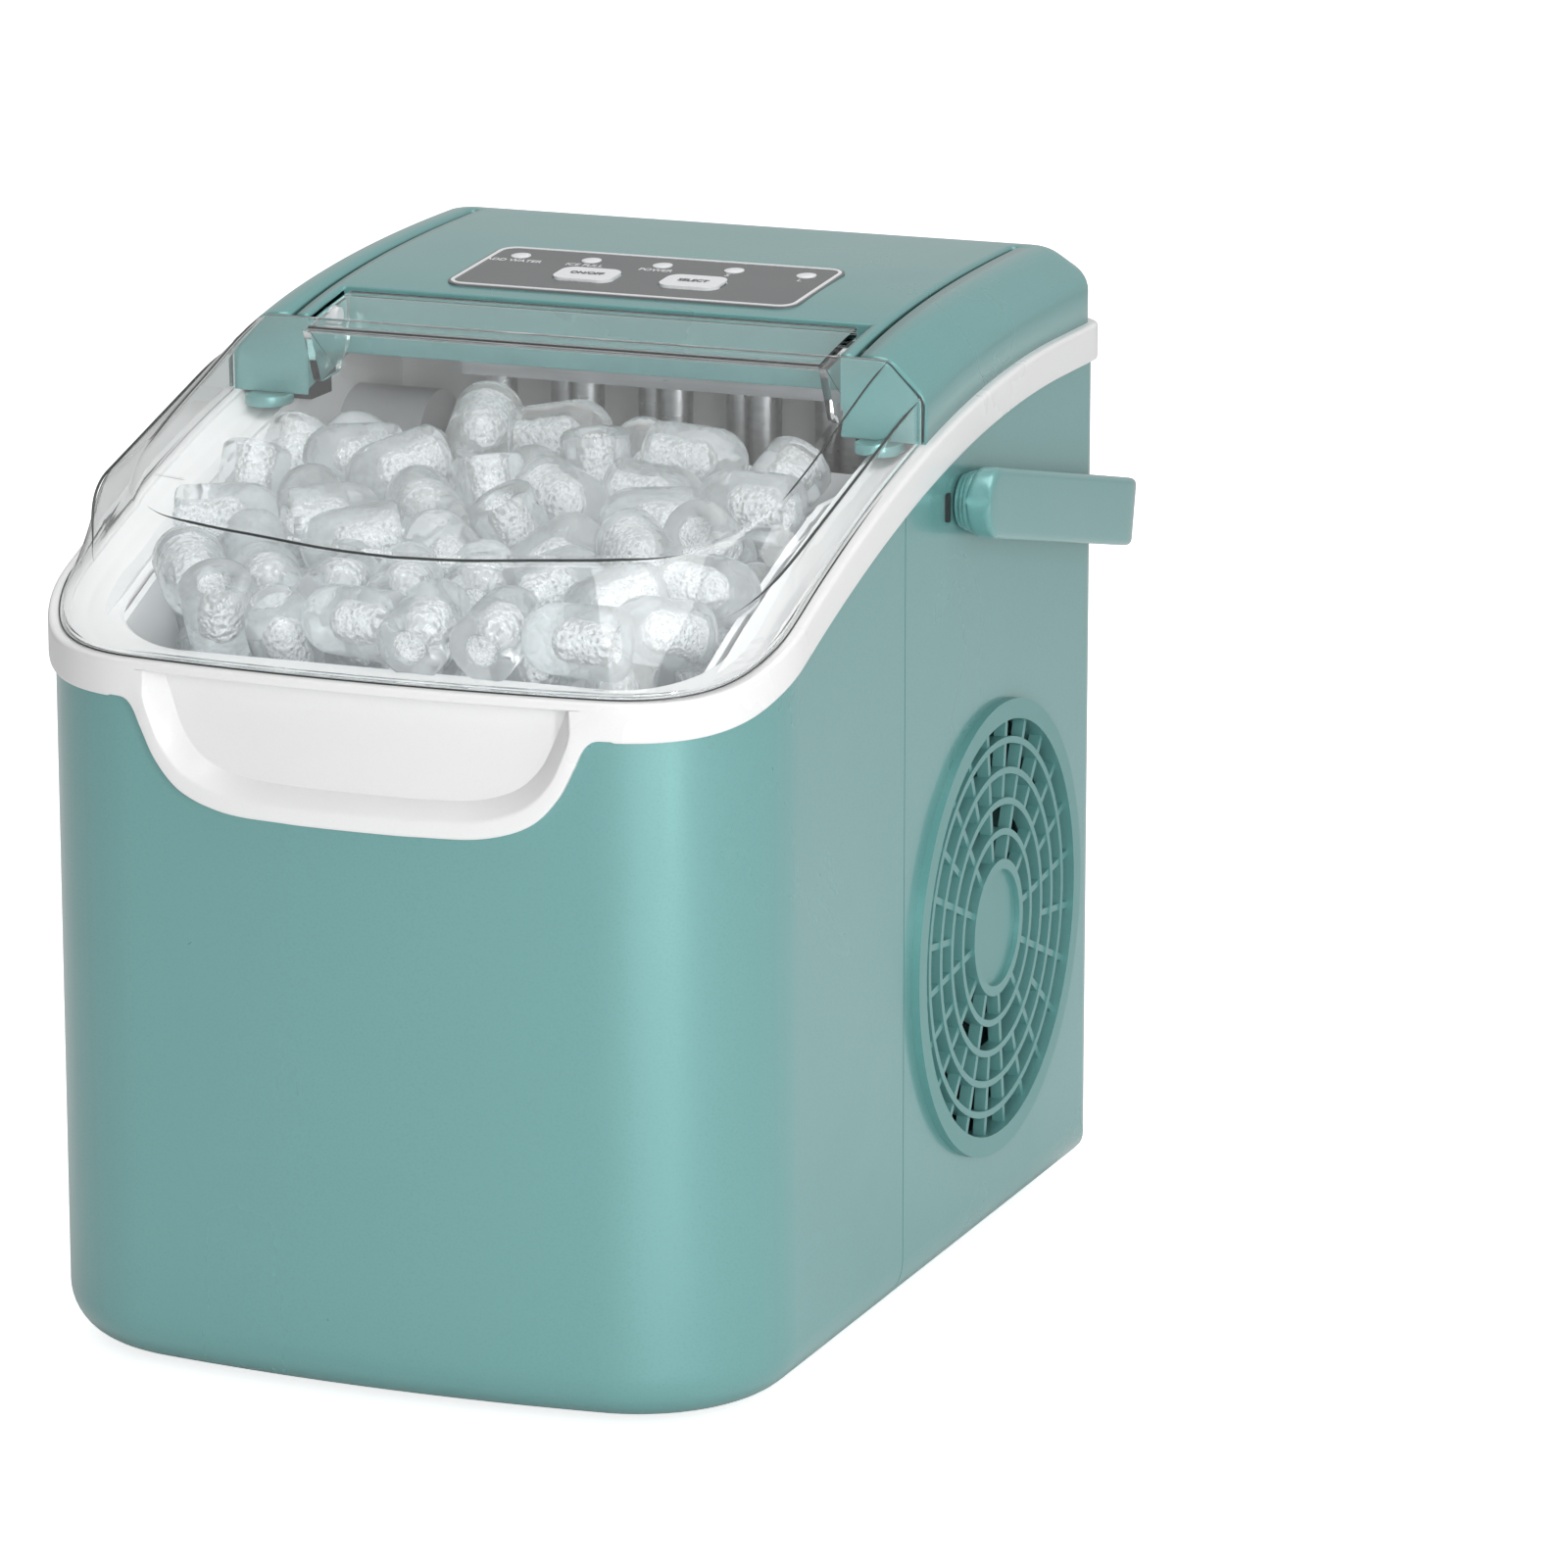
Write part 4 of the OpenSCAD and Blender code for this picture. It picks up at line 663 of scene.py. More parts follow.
# %% Flange round the mouth
FLANGE = [(4.7, -0.9), (9.0, -3.8), (17.6, -5.6), (19.4, -7.4), (19.4, -13.0), (17.8, -13.0),
          (17.8, -8.2), (9.0, -6.4), (4.7, -4.4)]   # inset, and height from the band's line
FLANGE_OUT, FLANGE_WIDTH, FRONT_EXTRA = 4.7, 14.7, 6.4
reach_back = REAR_Y - 145.25 + 1.8
strips = []
for inset, drop in FLANGE:
    half = half_plan(inset)
    half = half[:int(np.searchsorted(half[:, 1], reach_back, side="left"))]
    half = np.concatenate([half, [[half[-1, 0], reach_back]]])
    line = np.concatenate([half[::-1], half[1:] * np.array([-1.0, 1.0])])
    forward = np.clip((-100.0 - line[:, 1]) / 30.0, 0, 1)
    line[:, 1] += FRONT_EXTRA * (inset - FLANGE_OUT) / FLANGE_WIDTH * forward * forward * (3 - 2 * forward)
    strips.append(np.column_stack([line, band_z(line[:, 1]) + drop]))
loft("mouth_flange", soften(np.stack(strips, 1), 0.8, 4), white, slot="white_plastic", crease=50)

# %% [markdown]
# ## The line of the top
# From the side, the top is a straight slope over the lid that eases into the level rear. The lid
# and the cover behind it share this line, so it is one function of y.

# %% Top line
COVER_Y = REAR_Y - 145.25
SLOPE = math.tan(math.radians(19.0))
EASE = np.array([COVER_Y - 21, COVER_Y + 9.4 / SLOPE, REAR_Y - 8.25])
EASE_Z = TOP_Z - 9.4 - 21 * SLOPE


def top_z(y):
    """Height of the top at any y: a straight line, then a quadratic curve from its end to the level rear."""
    t = np.linspace(0, 1, 60)
    curve_y, curve_z = bezier(*EASE, t), bezier(EASE_Z, TOP_Z, TOP_Z, t)
    y = np.asarray(y, float)
    return np.where(y < EASE[0], EASE_Z - (EASE[0] - y) * SLOPE, np.interp(y, curve_y, curve_z))


def point_up(made):
    """Turns an open skin over if most of its area faces down."""
    mesh = made.data
    flat = np.zeros(len(mesh.polygons) * 3)
    mesh.polygons.foreach_get("normal", flat)
    area = np.zeros(len(mesh.polygons))
    mesh.polygons.foreach_get("area", area)
    if (flat[2::3] * area).sum() < 0:
        mesh.flip_normals()


# %% [markdown]
# ## The top cover
# Three lines run round the cover: its upright side, the lower line of the sloped edge and the ridge.
# A section through them at each point of the path is rounded at both corners, and a plain grid
# fills the middle. The notch for the lid's hinge is left out of the grid, and the thin wall that
# drops round the notch is a second, folded strip.

# %% Top cover
NOTCH_X, NOTCH_Y, COVER_WALL = 84.0, COVER_Y + 25.0, 2.4
HW1, RY1 = HALF_W - 1.0, REAR_Y - 1.0


def cover_lines():
    """Side, ridge and inner lines of the cover's right half, front to rear centre, with the same count: each
    is a straight side, a quarter-circle corner and a straight rear."""
    rise = np.concatenate([np.linspace(COVER_Y, NOTCH_Y, 14), np.linspace(NOTCH_Y, RY1 - 9.7, 46)[1:]])
    turn = np.linspace(0, math.pi / 2, 13)[1:]
    across = np.linspace(1, 0, 40)[1:]

    def line(hw, ry, r):
        y = COVER_Y + (rise - COVER_Y) * (ry - r - COVER_Y) / (RY1 - 9.7 - COVER_Y)
        y = np.where(rise <= NOTCH_Y, rise, y)
        return np.concatenate([
            np.stack([np.full_like(y, hw), y], -1),
            np.stack([hw - r + r * np.sin(math.pi / 2 - turn), ry - r + r * np.sin(turn)], -1),
            np.stack([(hw - r) * across, np.full_like(across, ry)], -1)])

    return line(HW1, RY1, 9.7), line(HW1 - 11.5, RY1 - 5.2, 7.0), line(HW1 - 20.0, RY1 - 14.0, 0.001)


side, ridge, inner = cover_lines()
share = np.clip((np.arange(len(side)) - 59) / 12.0, 0, 1)
drop_z = 10.5 + (6.0 - 10.5) * share
foot = band_z(side[:, 1]) - 4.0
corners = np.stack([
    np.column_stack([side, foot]), np.column_stack([side, top_z(ridge[:, 1]) - drop_z]),
    np.column_stack([ridge, top_z(ridge[:, 1])]), np.column_stack([inner, top_z(inner[:, 1])])], 1)
section = soften(corners, [0, 3.4, 4.6, 0], 6, closed=False)[:, 5:-5]
ring = np.concatenate([section, (section[::-1] * np.array([-1.0, 1.0, 1.0]))[1:]])
rows, cols = ring.shape[:2]
ring_faces = cells(rows, cols, wrap_cols=False)
columns = np.unique(np.concatenate([inner[71:, 0], -inner[71:, 0], [-NOTCH_X, NOTCH_X]]))
lines_y = inner[:60, 1]
gx, gy = np.meshgrid(columns, lines_y)
patch = np.stack([gx, gy, top_z(gy)], -1)
patch_faces = cells(len(lines_y), len(columns), wrap_cols=False, first=ring.reshape(-1, 3).shape[0])
middle = (gx[:-1, :-1] + gx[1:, 1:]) / 2, (gy[:-1, :-1] + gy[1:, 1:]) / 2
keep = ~((np.abs(middle[0]) < NOTCH_X) & (middle[1] < NOTCH_Y))
patch_faces = patch_faces[keep.ravel()]
cover_points = np.concatenate([ring.reshape(-1, 3), patch.reshape(-1, 3)])
cover = piece("cover_skin", cover_points, [ring_faces, patch_faces], teal, slot="teal_plastic", crease=50)
point_up(cover)
thicken = cover.modifiers.new("wall", "SOLIDIFY")
thicken.thickness, thicken.offset = COVER_WALL * 0.001, -1.0
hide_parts("top_cover")

# %% [markdown]
# The strip round the notch: a plan path with square turns, and at each point a thin upright section
# whose top follows the cover and whose foot is higher behind the hinge, over the ice maker's plate.

# %% Walls of the notch
notch_path = np.array([(HW1 - 1.0, COVER_Y), (HW1 - 11.5, COVER_Y), (NOTCH_X, COVER_Y),
                       (NOTCH_X, COVER_Y + 0.01), (NOTCH_X, NOTCH_Y), (NOTCH_X - 0.01, NOTCH_Y)])
notch_path = np.concatenate([notch_path, notch_path[::-1] * np.array([-1.0, 1.0])])
out_dir = np.array([(0, 1.0), (0, 1.0), (1.0, 1.0), (1.0, 1.0), (1.0, 1.0), (1.0, 1.0)])
out_dir = np.concatenate([out_dir, out_dir[::-1] * np.array([-1.0, 1.0])])
edge_z = top_z(notch_path[:, 1]) - np.maximum(np.abs(notch_path[:, 0]) - (HW1 - 11.5), 0) * 10.5 / 11.5
feet = np.array([252.5, 252.5, 252.5, 254.0, 261.0, 261.0])
feet = np.concatenate([feet, feet[::-1]])
back = notch_path + out_dir * COVER_WALL
strip = np.stack([np.column_stack([notch_path, edge_z - 0.25]), np.column_stack([notch_path, feet]),
                  np.column_stack([back, feet]), np.column_stack([back, edge_z - 0.6])], 1)
loft("notch_walls", soften(strip, 0.7, 3), teal, slot="teal_plastic")

# %% [markdown]
# ## Clear plastic
# The lid is clear styrene: light goes through it, so its material is glass for the eye and, for
# shadow rays, almost nothing. Without that trick the ice under a refracting lid would sit in the dark.

# %% Clear material
def clear_plastic(name, tint, roughness=0.02, shade=0.06):
    """Clear moulding: full transmission, faint flow marks in the bump, and shadows let through."""
    m = bpy.data.materials.new(name)
    m.use_nodes = True
    tree = m.node_tree
    shader = tree.nodes["Principled BSDF"]
    shader.inputs["Base Color"].default_value = (*tint, 1)
    shader.inputs["Roughness"].default_value = roughness
    shader.inputs["Transmission Weight"].default_value = 1.0
    shader.inputs["IOR"].default_value = 1.46
    bump(tree, noise(tree, 26.0, 2.0), 0.05, 0.0002)
    gone = tree.nodes.new("ShaderNodeBsdfTransparent")
    gone.inputs["Color"].default_value = (1 - shade, 1 - shade, 1 - shade, 1)
    mix = tree.nodes.new("ShaderNodeMixShader")
    tree.links.new(tree.nodes.new("ShaderNodeLightPath").outputs["Is Shadow Ray"], mix.inputs[0])
    tree.links.new(shader.outputs["BSDF"], mix.inputs[1])
    tree.links.new(gone.outputs["BSDF"], mix.inputs[2])
    tree.links.new(mix.outputs["Shader"], tree.nodes["Material Output"].inputs["Surface"])
    return m


clear = clear_plastic("clear_styrene", (0.985, 0.995, 0.995))
lid_edge = moulded("lid_edge", (0.80, 0.82, 0.82), 0.30, 900.0, 0.02)
# Near-black for the beads that paint the lid's dark edge lines: painted shade from bent light, not a tint of
# the plastic.
painted_edge_shade = moulded("painted_dark_edge", (0.035, 0.04, 0.04), 0.18, 900.0, 0.02, coat=0.3)

# %% [markdown]
# ## The lid
# The lid is built as the cover is: rim, shoulder, ridge and inner line, sampled in step from the
# hinge round the front. At the sides the wall stands upright; at the front it leans back from the
# rim to the ridge as a sloping fascia. A flat grid fills the top.

# %% Lid shell
LID_T, LID_WALL = 2.5, 1.1   # the moulding's own thickness, and that of the skin as drawn
HINGE_Y, HINGE_Z = COVER_Y + 12.0, TOP_Z - 9.4 - 4.6
LID_BACK = COVER_Y - 0.6


def lid_lines(count=110):
    """Rim, ridge and inner lines of the lid's right half, from the hinge to the front centre. The rim is the
    body's outline drawn in; the ridge is a smooth path through listed points on the sloping plane."""
    start = half_plan(2.2)[:FRONT_COUNT][::-1]
    rim = np.concatenate([[[start[0, 0], LID_BACK]], start[start[:, 1] < LID_BACK - 0.5]])
    ridge = np.array([(98.5, LID_BACK), (98.5, -30), (98.4, -62), (96.5, -82), (90.5, -97), (79, -107.2),
                      (62, -111.8), (42, -115), (20, -118.3), (0, -119.6)])
    inner = np.array([(80, LID_BACK), (80, -90), (0, -90.0)])
    side_n = int(count * 0.6)
    rim = smooth_path(rim[::6] if len(rim) > 60 else rim, 400)
    rim[0] = (start[0, 0], LID_BACK)

    def in_step(line, turn_at):
        """Resamples a line so that side_n of its points lie within turn_at of its start."""
        run = np.concatenate([[0], np.cumsum(np.linalg.norm(np.diff(line, axis=0), axis=1))])
        rest = np.linspace(turn_at, run[-1], count - side_n + 1)[1:]
        q = np.concatenate([np.linspace(0, turn_at, side_n), rest])
        return np.stack([np.interp(q, run, line[:, k]) for k in (0, 1)], -1)

    rim = in_step(rim, LID_BACK + 103.0)
    ridge = in_step(smooth_path(ridge, 500), LID_BACK + 88.0)
    inner = in_step(inner, LID_BACK + 90.0)
    return rim, ridge, inner


rim, ridge, inner = lid_lines()
rim_z = band_z(rim[:, 1]) + 0.3
upright = np.clip((rim[:, 1] + 112) / 34.0, 0, 1)[:, None]
upright = upright * upright * (3 - 2 * upright)
shoulder_side = np.column_stack([np.minimum(rim[:, 0], 110.0), rim[:, 1], top_z(ridge[:, 1]) - 10.5])
rim3, ridge3 = np.column_stack([rim, rim_z]), np.column_stack([ridge, top_z(ridge[:, 1])])
shoulder_front = rim3 + (ridge3 - rim3) * 0.42 + np.array([0, -0.4, 1.2])
shoulder = shoulder_front + (shoulder_side - shoulder_front) * upright
knee = rim3 + np.array([0, 0, 1.3])
corners = np.stack([rim3, knee, shoulder, ridge3, np.column_stack([inner, top_z(inner[:, 1])])], 1)
none = np.zeros(len(rim))
reach = np.stack([none, none + 0.5, 2.0 + 5.0 * (1 - upright[:, 0]), none + 2.6, none], -1)
half_ring = soften(corners, reach, 7, closed=False)[:, 6:-6]
ring = np.concatenate([half_ring, (half_ring[::-1] * np.array([-1.0, 1.0, 1.0]))[1:]])
ring_faces = cells(*ring.shape[:2], wrap_cols=False)
side_n = 66
lines_y = inner[:side_n, 1]
columns = np.unique(np.round(np.concatenate([inner[side_n - 1:, 0], -inner[side_n - 1:, 0]]), 6))
gx, gy = np.meshgrid(columns, lines_y)
patch = np.stack([gx, gy, top_z(gy)], -1)
patch_faces = cells(len(lines_y), len(columns), wrap_cols=False, first=ring.reshape(-1, 3).shape[0])
lid_points = np.concatenate([ring.reshape(-1, 3), patch.reshape(-1, 3)])
on_lid = {"body": "lid", "slot": "clear_plastic"}
lid_shell = piece("lid_shell", lid_points, [ring_faces, patch_faces], [clear, lid_edge], crease=40, **on_lid)
point_up(lid_shell)
thicken = lid_shell.modifiers.new("wall", "SOLIDIFY")
thicken.thickness, thicken.offset = LID_WALL * 0.001, -1.0
thicken.material_offset_rim = 1
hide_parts("lid")

# %% [markdown]
# The hinge tab is a flat tongue that runs back into the cover's notch between two cheeks, which
# hang down and hold the hinge pins. Both are outlines in the side view, carried across the lid.

# %% Hinge tab and cheeks
tab_y = np.linspace(-4.5, COVER_Y + 25 - 3.2, 12)
tab_top = np.column_stack([tab_y, top_z(tab_y) + 0.05])
tab_side = np.concatenate([tab_top, [[tab_y[-1], top_z(tab_y[-1]) - 2.6]],
                           (tab_top - [0, 2.45])[::-1][1:]])


def across(name, outline, stations, material, **where):
    """Carries a closed (y, z) outline along x through the given stations."""
    rings = [np.column_stack([np.full(len(outline), s), outline]) for s in stations]
    return loft(name, np.stack(rings), material, **where)


across("lid_tab", soften(tab_side, 0.5, 3), np.linspace(-80.4, 80.4, 9), clear, **on_lid)
cheek_line = np.array([(HINGE_Y - 19, HINGE_Z + 0.2), (HINGE_Y - 11.5, HINGE_Z - 17),
                       (HINGE_Y + 1, HINGE_Z - 16), (HINGE_Y + 8.4, HINGE_Z - 8),
                       (HINGE_Y + 8.6, top_z(HINGE_Y + 8.6) - 2.6),
                       (HINGE_Y - 19, top_z(HINGE_Y - 19) - 2.6)])
for side_name, s in (("right", 1), ("left", -1)):
    across("lid_cheek_" + side_name, soften(cheek_line, 1.4, 4), s * np.array([80.0, 80.2, 82.2, 82.4]),
           clear, **on_lid)

# %% [markdown]
# A clear moulding looks clear on its faces, but along its rounded edges light is bent away and a fine
# dark line shows. Thin near-black beads along the ridge, the shoulder and the rim paint that shade in as
# lines, the same from any side.

# %% Dark edge lines
def bead(name, line, radius, material, body="lid", taper=True):
    """A thin round bead along a path of points: a circle turned square to the path at each point, drawn to
    almost nothing at the ends when tapered."""
    line = np.asarray(line, float)
    ahead = np.gradient(line, axis=0)
    ahead /= np.linalg.norm(ahead, axis=1, keepdims=True)
    up = np.tile([0.0, 0.0, 1.0], (len(line), 1))
    up[np.abs(ahead[:, 2]) > 0.95] = (1.0, 0.0, 0.0)
    a = np.cross(ahead, up)
    a /= np.linalg.norm(a, axis=1, keepdims=True)
    b = np.cross(a, ahead)
    t = np.linspace(0, 2 * math.pi, 9)[:-1]
    share = np.linspace(0, 1, len(line))
    size = radius * (np.clip(np.minimum(share, 1 - share) * 9, 0.12, 1) if taper else np.ones(len(line)))
    turned_out = np.cos(t)[None, :, None] * a[:, None] + np.sin(t)[None, :, None] * b[:, None]
    rings = line[:, None] + size[:, None, None] * turned_out
    return loft(name, rings, material, body=body, crease=80)


def both(half):
    """A half line and its mirror image, joined at the middle, right to left."""
    return np.concatenate([half, (half[::-1] * np.array([-1.0, 1.0, 1.0]))[1:]])


front_ridge = both(ridge3[ridge3[:, 1] < -104.5] + np.array([0, -0.2, -0.25]))
bead("line_front_ridge", front_ridge, 0.42, painted_edge_shade)
out_way = np.stack([rim3[:, 0] / HALF_W, (rim3[:, 1] + 100) / 50 * (rim3[:, 1] < -100), 0 * rim3[:, 0]], -1)
rim_line = both((rim3 + out_way * 0.9 + [0, 0, -0.1])[rim3[:, 1] < -30])
bead("line_rim", rim_line, 0.24, painted_edge_shade)
for side_name, s in (("right", 1), ("left", -1)):
    flip = np.array([s, 1.0, 1.0])
    bead("line_ridge_" + side_name, (ridge3[ridge3[:, 1] > -78] + [0.2, 0, -0.5]) * flip, 0.30, painted_edge_shade)
    low_line = shoulder[shoulder[:, 1] > -112]
    bead("line_shoulder_" + side_name, (low_line + [0.1, 0, 0]) * flip, 0.42, painted_edge_shade)
    back, back_top = LID_BACK - 0.3, top_z(LID_BACK)
    hinge_line = np.array([(109.6, back, float(band_z(LID_BACK)) + 1), (109.8, back, back_top - 11.5),
                           (98.8, back, back_top - 0.8), (83, back, back_top - 0.4)])
    bead("line_hinge_" + side_name, soften(hinge_line, 1.5, 4, closed=False) * flip, 0.34, painted_edge_shade,
         taper=False)
for name, y0, r in (("line_tab_rear", tab_y[-1] - 0.2, 0.3), ("line_tab_front", -4.6, 0.36)):
    xs = np.linspace(80, -80, 24)
    level = np.full_like(xs, float(top_z(y0)) - 0.2)
    bead(name, np.column_stack([xs, np.full_like(xs, y0), level]), r, painted_edge_shade, taper=False)

# %% [markdown]
# ## Ice
# The machine freezes hollow bullets: a dome at one end, a bore up the middle from the other. The
# outside melts smooth and clear while the bore and the core stay frosty, so the two have their own
# finishes on one mesh.

# %% Ice materials
def ice_material(name, color, roughness, clarity, scale, depth):
    """Ice: bent light with frosty patches in colour and dullness, and a rippled bump."""
    m = bpy.data.materials.new(name)
    m.use_nodes = True
    tree = m.node_tree
    shader = tree.nodes["Principled BSDF"]
    rime = place_group(tree, frost, Scale=scale)
    tree.links.new(blend_colors(tree, rime.outputs["Mask"], color, tuple(min(1, c * 1.04) for c in color)),
                   shader.inputs["Base Color"])
    tree.links.new(remap(tree, rime.outputs["Mask"], 0, 1, roughness, min(1.0, roughness + 0.16)),
                   shader.inputs["Roughness"])
    shader.inputs["IOR"].default_value = 1.31
    shader.inputs["Transmission Weight"].default_value = clarity
    bump(tree, rime.outputs["Height"], depth, 0.0012)
    gone = tree.nodes.new("ShaderNodeBsdfTransparent")
    gone.inputs["Color"].default_value = (0.93, 0.94, 0.94, 1)
    mix = tree.nodes.new("ShaderNodeMixShader")
    tree.links.new(tree.nodes.new("ShaderNodeLightPath").outputs["Is Shadow Ray"], mix.inputs[0])
    tree.links.new(shader.outputs["BSDF"], mix.inputs[1])
    tree.links.new(gone.outputs["BSDF"], mix.inputs[2])
    tree.links.new(mix.outputs["Shader"], tree.nodes["Material Output"].inputs["Surface"])
    return m


ice_clear = ice_material("ice_clear", (0.88, 0.905, 0.915), 0.05, 0.86, 260.0, 0.32)
ice_frosty = ice_material("ice_frosty", (0.88, 0.89, 0.90), 0.22, 0.50, 700.0, 1.0)

# %% [markdown]
# ## One bullet
# A bullet is a profile turned about its axis: up the outside with a slight taper, over the dome,
# and, from the open end, up the bore to its own small dome.

# %% Bullet shape
BULLET_R, BULLET_L, BORE_R, BORE_L = 10.5, 30.0, 4.9, 20.0


def bullet_profile():
    """Radius and height round half of a bullet's section: dome, side, rim, bore wall and bore dome."""
    t = np.linspace(0, math.pi / 2, 7)
    dome = np.column_stack([BULLET_R * np.sin(t) * 0.965 + 1e-4, BULLET_L - BULLET_R + BULLET_R * np.cos(t)])
    side = np.array([(BULLET_R * 0.985, 12.0), (BULLET_R, 5.0), (BULLET_R, 1.2), (BULLET_R - 0.9, 0.1)])
    rim = np.array([(BORE_R + 2.0, 0.0), (BORE_R + 0.5, 0.4), (BORE_R, 1.6)])
    bore = np.array([(BORE_R - 0.5, 8.0), (BORE_R - 0.4, BORE_L - BORE_R)])
    late = t[2::2]
    cap = np.column_stack([(BORE_R - 0.4) * np.cos(late) + 1e-4, BORE_L - BORE_R + BORE_R * np.sin(late)])
    return np.concatenate([dome, side, rim, bore, cap]), len(dome) + len(side) + 2


profile, bore_from = bullet_profile()
AROUND = 20
angle = np.linspace(0, 2 * math.pi, AROUND + 1)[:-1]
bullet = np.stack([profile[:, :1] * np.cos(angle), profile[:, :1] * np.sin(angle),
                   np.repeat(profile[:, 1:], AROUND, 1)], -1)
print("bullet grid:", bullet.shape)

# %% [markdown]
# ## Filling the basket
# Real ice falls and settles, so each bullet is stood in for by two balls joined by a short rod. The
# balls drop, push apart where they overlap and stay within the basket and under the heap's surface.
# All pairs are worked out at once as arrays, and the same seed gives the same heap every time.

# %% Settle the ice
def settle(count, steps, seed):
    """Positions of the two balls of each bullet. Each step adds a fall, then several rounds of moving
    overlapping balls half the overlap apart, restoring the rods and clamping to the walls."""
    rng = np.random.default_rng(seed)
    ball, rod = 10.5, 9.6
    x_lim, y_lo, y_hi, z_lo = 76.5, -107.5, 5.5, 148.0
    heart = np.column_stack([rng.uniform(-x_lim, x_lim, count), rng.uniform(y_lo, y_hi, count),
                             z_lo + 10 + 15 * np.arange(count) / count * 16])
    lean = rng.normal(size=(count, 3)) * [1, 1, 0.8]
    lean /= np.linalg.norm(lean, axis=1, keepdims=True)
    p = np.concatenate([heart - lean * rod / 2, heart + lean * rod / 2])
    mate = np.concatenate([np.arange(count) + count, np.arange(count)])
    own = np.zeros((2 * count, 2 * count), bool)
    own[np.arange(2 * count), mate] = own[np.arange(2 * count), np.arange(2 * count)] = True
    tremble = rng.normal(size=p.shape) * 1e-3
    for step in range(steps):
        p[:, 2] -= 1.8 if step < steps * 0.8 else 0.2
        for _ in range(4):
            gap = p[:, None] - p[None]
            far = np.sqrt((gap ** 2).sum(-1)) + 1e-9
            over = np.where(own, 0, np.clip(2 * ball - far, 0, None))
            p += 0.42 * (gap / far[..., None] * over[..., None]).sum(1)
            half = (p[mate] - p)
            size = np.linalg.norm(half, axis=1, keepdims=True) + 1e-6
            p += half / size * (size - rod) / 2
            spill = np.clip((p[:, 2] - 205) / 12, 0, 1) * 6
            near = np.clip((p[:, 1] + 120) / 38, 0, 1)
            x_here = x_lim + spill - 26 * (1 - near)
            p[:, 0] = np.clip(p[:, 0], -x_here, x_here)
            p[:, 1] = np.clip(p[:, 1], y_lo - spill, y_hi)
            p[:, 2] = np.maximum(p[:, 2], z_lo)
            lid_under = top_z(p[:, 1]) - LID_T - 10.5 - ball
            surface = 217 + np.clip((p[:, 1] + 104) / 108, 0, 1) * 30
            p[:, 2] = np.minimum(p[:, 2], np.minimum(lid_under, surface))
            p += tremble
    return p[:count], p[count:]


ice_a, ice_b = settle(228, 140, 7)
print("ice heap top:", round(float(max(ice_a[:, 2].max(), ice_b[:, 2].max())) + BULLET_R, 1), "mm")


def lay_bullets(low, high, seed):
    """Turns every bullet so that its axis runs from ball to ball, with its middle between them, rolled by a
    random angle and scaled a little: all bullets times all points in one array."""
    rng = np.random.default_rng(seed)
    flip = rng.random(len(low)) < 0.5
    start, end = np.where(flip[:, None], high, low), np.where(flip[:, None], low, high)
    axis = end - start
    axis /= np.linalg.norm(axis, axis=1, keepdims=True)
    other = np.cross(axis, [0.31, 0.52, 0.79])
    other /= np.linalg.norm(other, axis=1, keepdims=True)
    third = np.cross(axis, other)
    roll = rng.uniform(0, 2 * math.pi, len(low))[:, None]
    u, v = other * np.cos(roll) + third * np.sin(roll), third * np.cos(roll) - other * np.sin(roll)
    size = rng.uniform(0.95, 1.0, len(low))[:, None, None]
    local = bullet.reshape(-1, 3) - [0, 0, BULLET_L / 2]
    placed = (local[None, :, :1] * u[:, None] + local[None, :, 1:2] * v[:, None]
              + local[None, :, 2:] * axis[:, None])
    return placed * size + ((start + end) / 2)[:, None]


heap = lay_bullets(ice_a, ice_b, 11)
rows, cols = bullet.shape[:2]
one = cells(rows, cols)
caps = [np.arange(cols)[::-1], np.arange(cols) + (rows - 1) * cols]
step = rows * cols
shift = (np.arange(len(heap)) * step)[:, None, None]
quads = (one[None] + shift).reshape(-1, 4)
mark_one = np.repeat((np.arange(rows - 1) >= bore_from).astype(int), cols)
ends = (np.stack(caps)[None] + shift).reshape(-1, cols)
marks = np.concatenate([np.tile(mark_one, len(heap)), np.tile([0, 1], len(heap))])
piece("ice_bullets", heap.reshape(-1, 3), [quads, ends], [ice_clear, ice_frosty], body="basket",
            slot="clear_plastic", crease=60, marks=marks)

# %% [markdown]
# ## The carry handle
# The handle folds down behind the body: two flat arms from pivots on the sides, joined by a
# crossbar. Its middle line is a U with rounded corners, and its section a tall rounded rectangle.
# The arms' front ends are round about the pivot, so the section's height shrinks there as a circle.

# %% Handle
PIVOT = np.array([0.0, REAR_Y - 118.75, TOP_Z - 55.9])
DROOP = math.radians(12.2)
ARM_T, ARM_H, ARM_X = 7.6, 20.6, HALF_W + 5.1
HANDLE_END = 129.5 + 8.5


def on_handle(points):
    """Handle coordinates (x, along the arm, across the arm) to the body's: turned down by the droop about
    the pivot."""
    x, l, h = points[..., 0], points[..., 1], points[..., 2]
    return np.stack([x, PIVOT[1] + l * math.cos(DROOP) + h * math.sin(DROOP),
                     PIVOT[2] - l * math.sin(DROOP) + h * math.cos(DROOP)], -1)


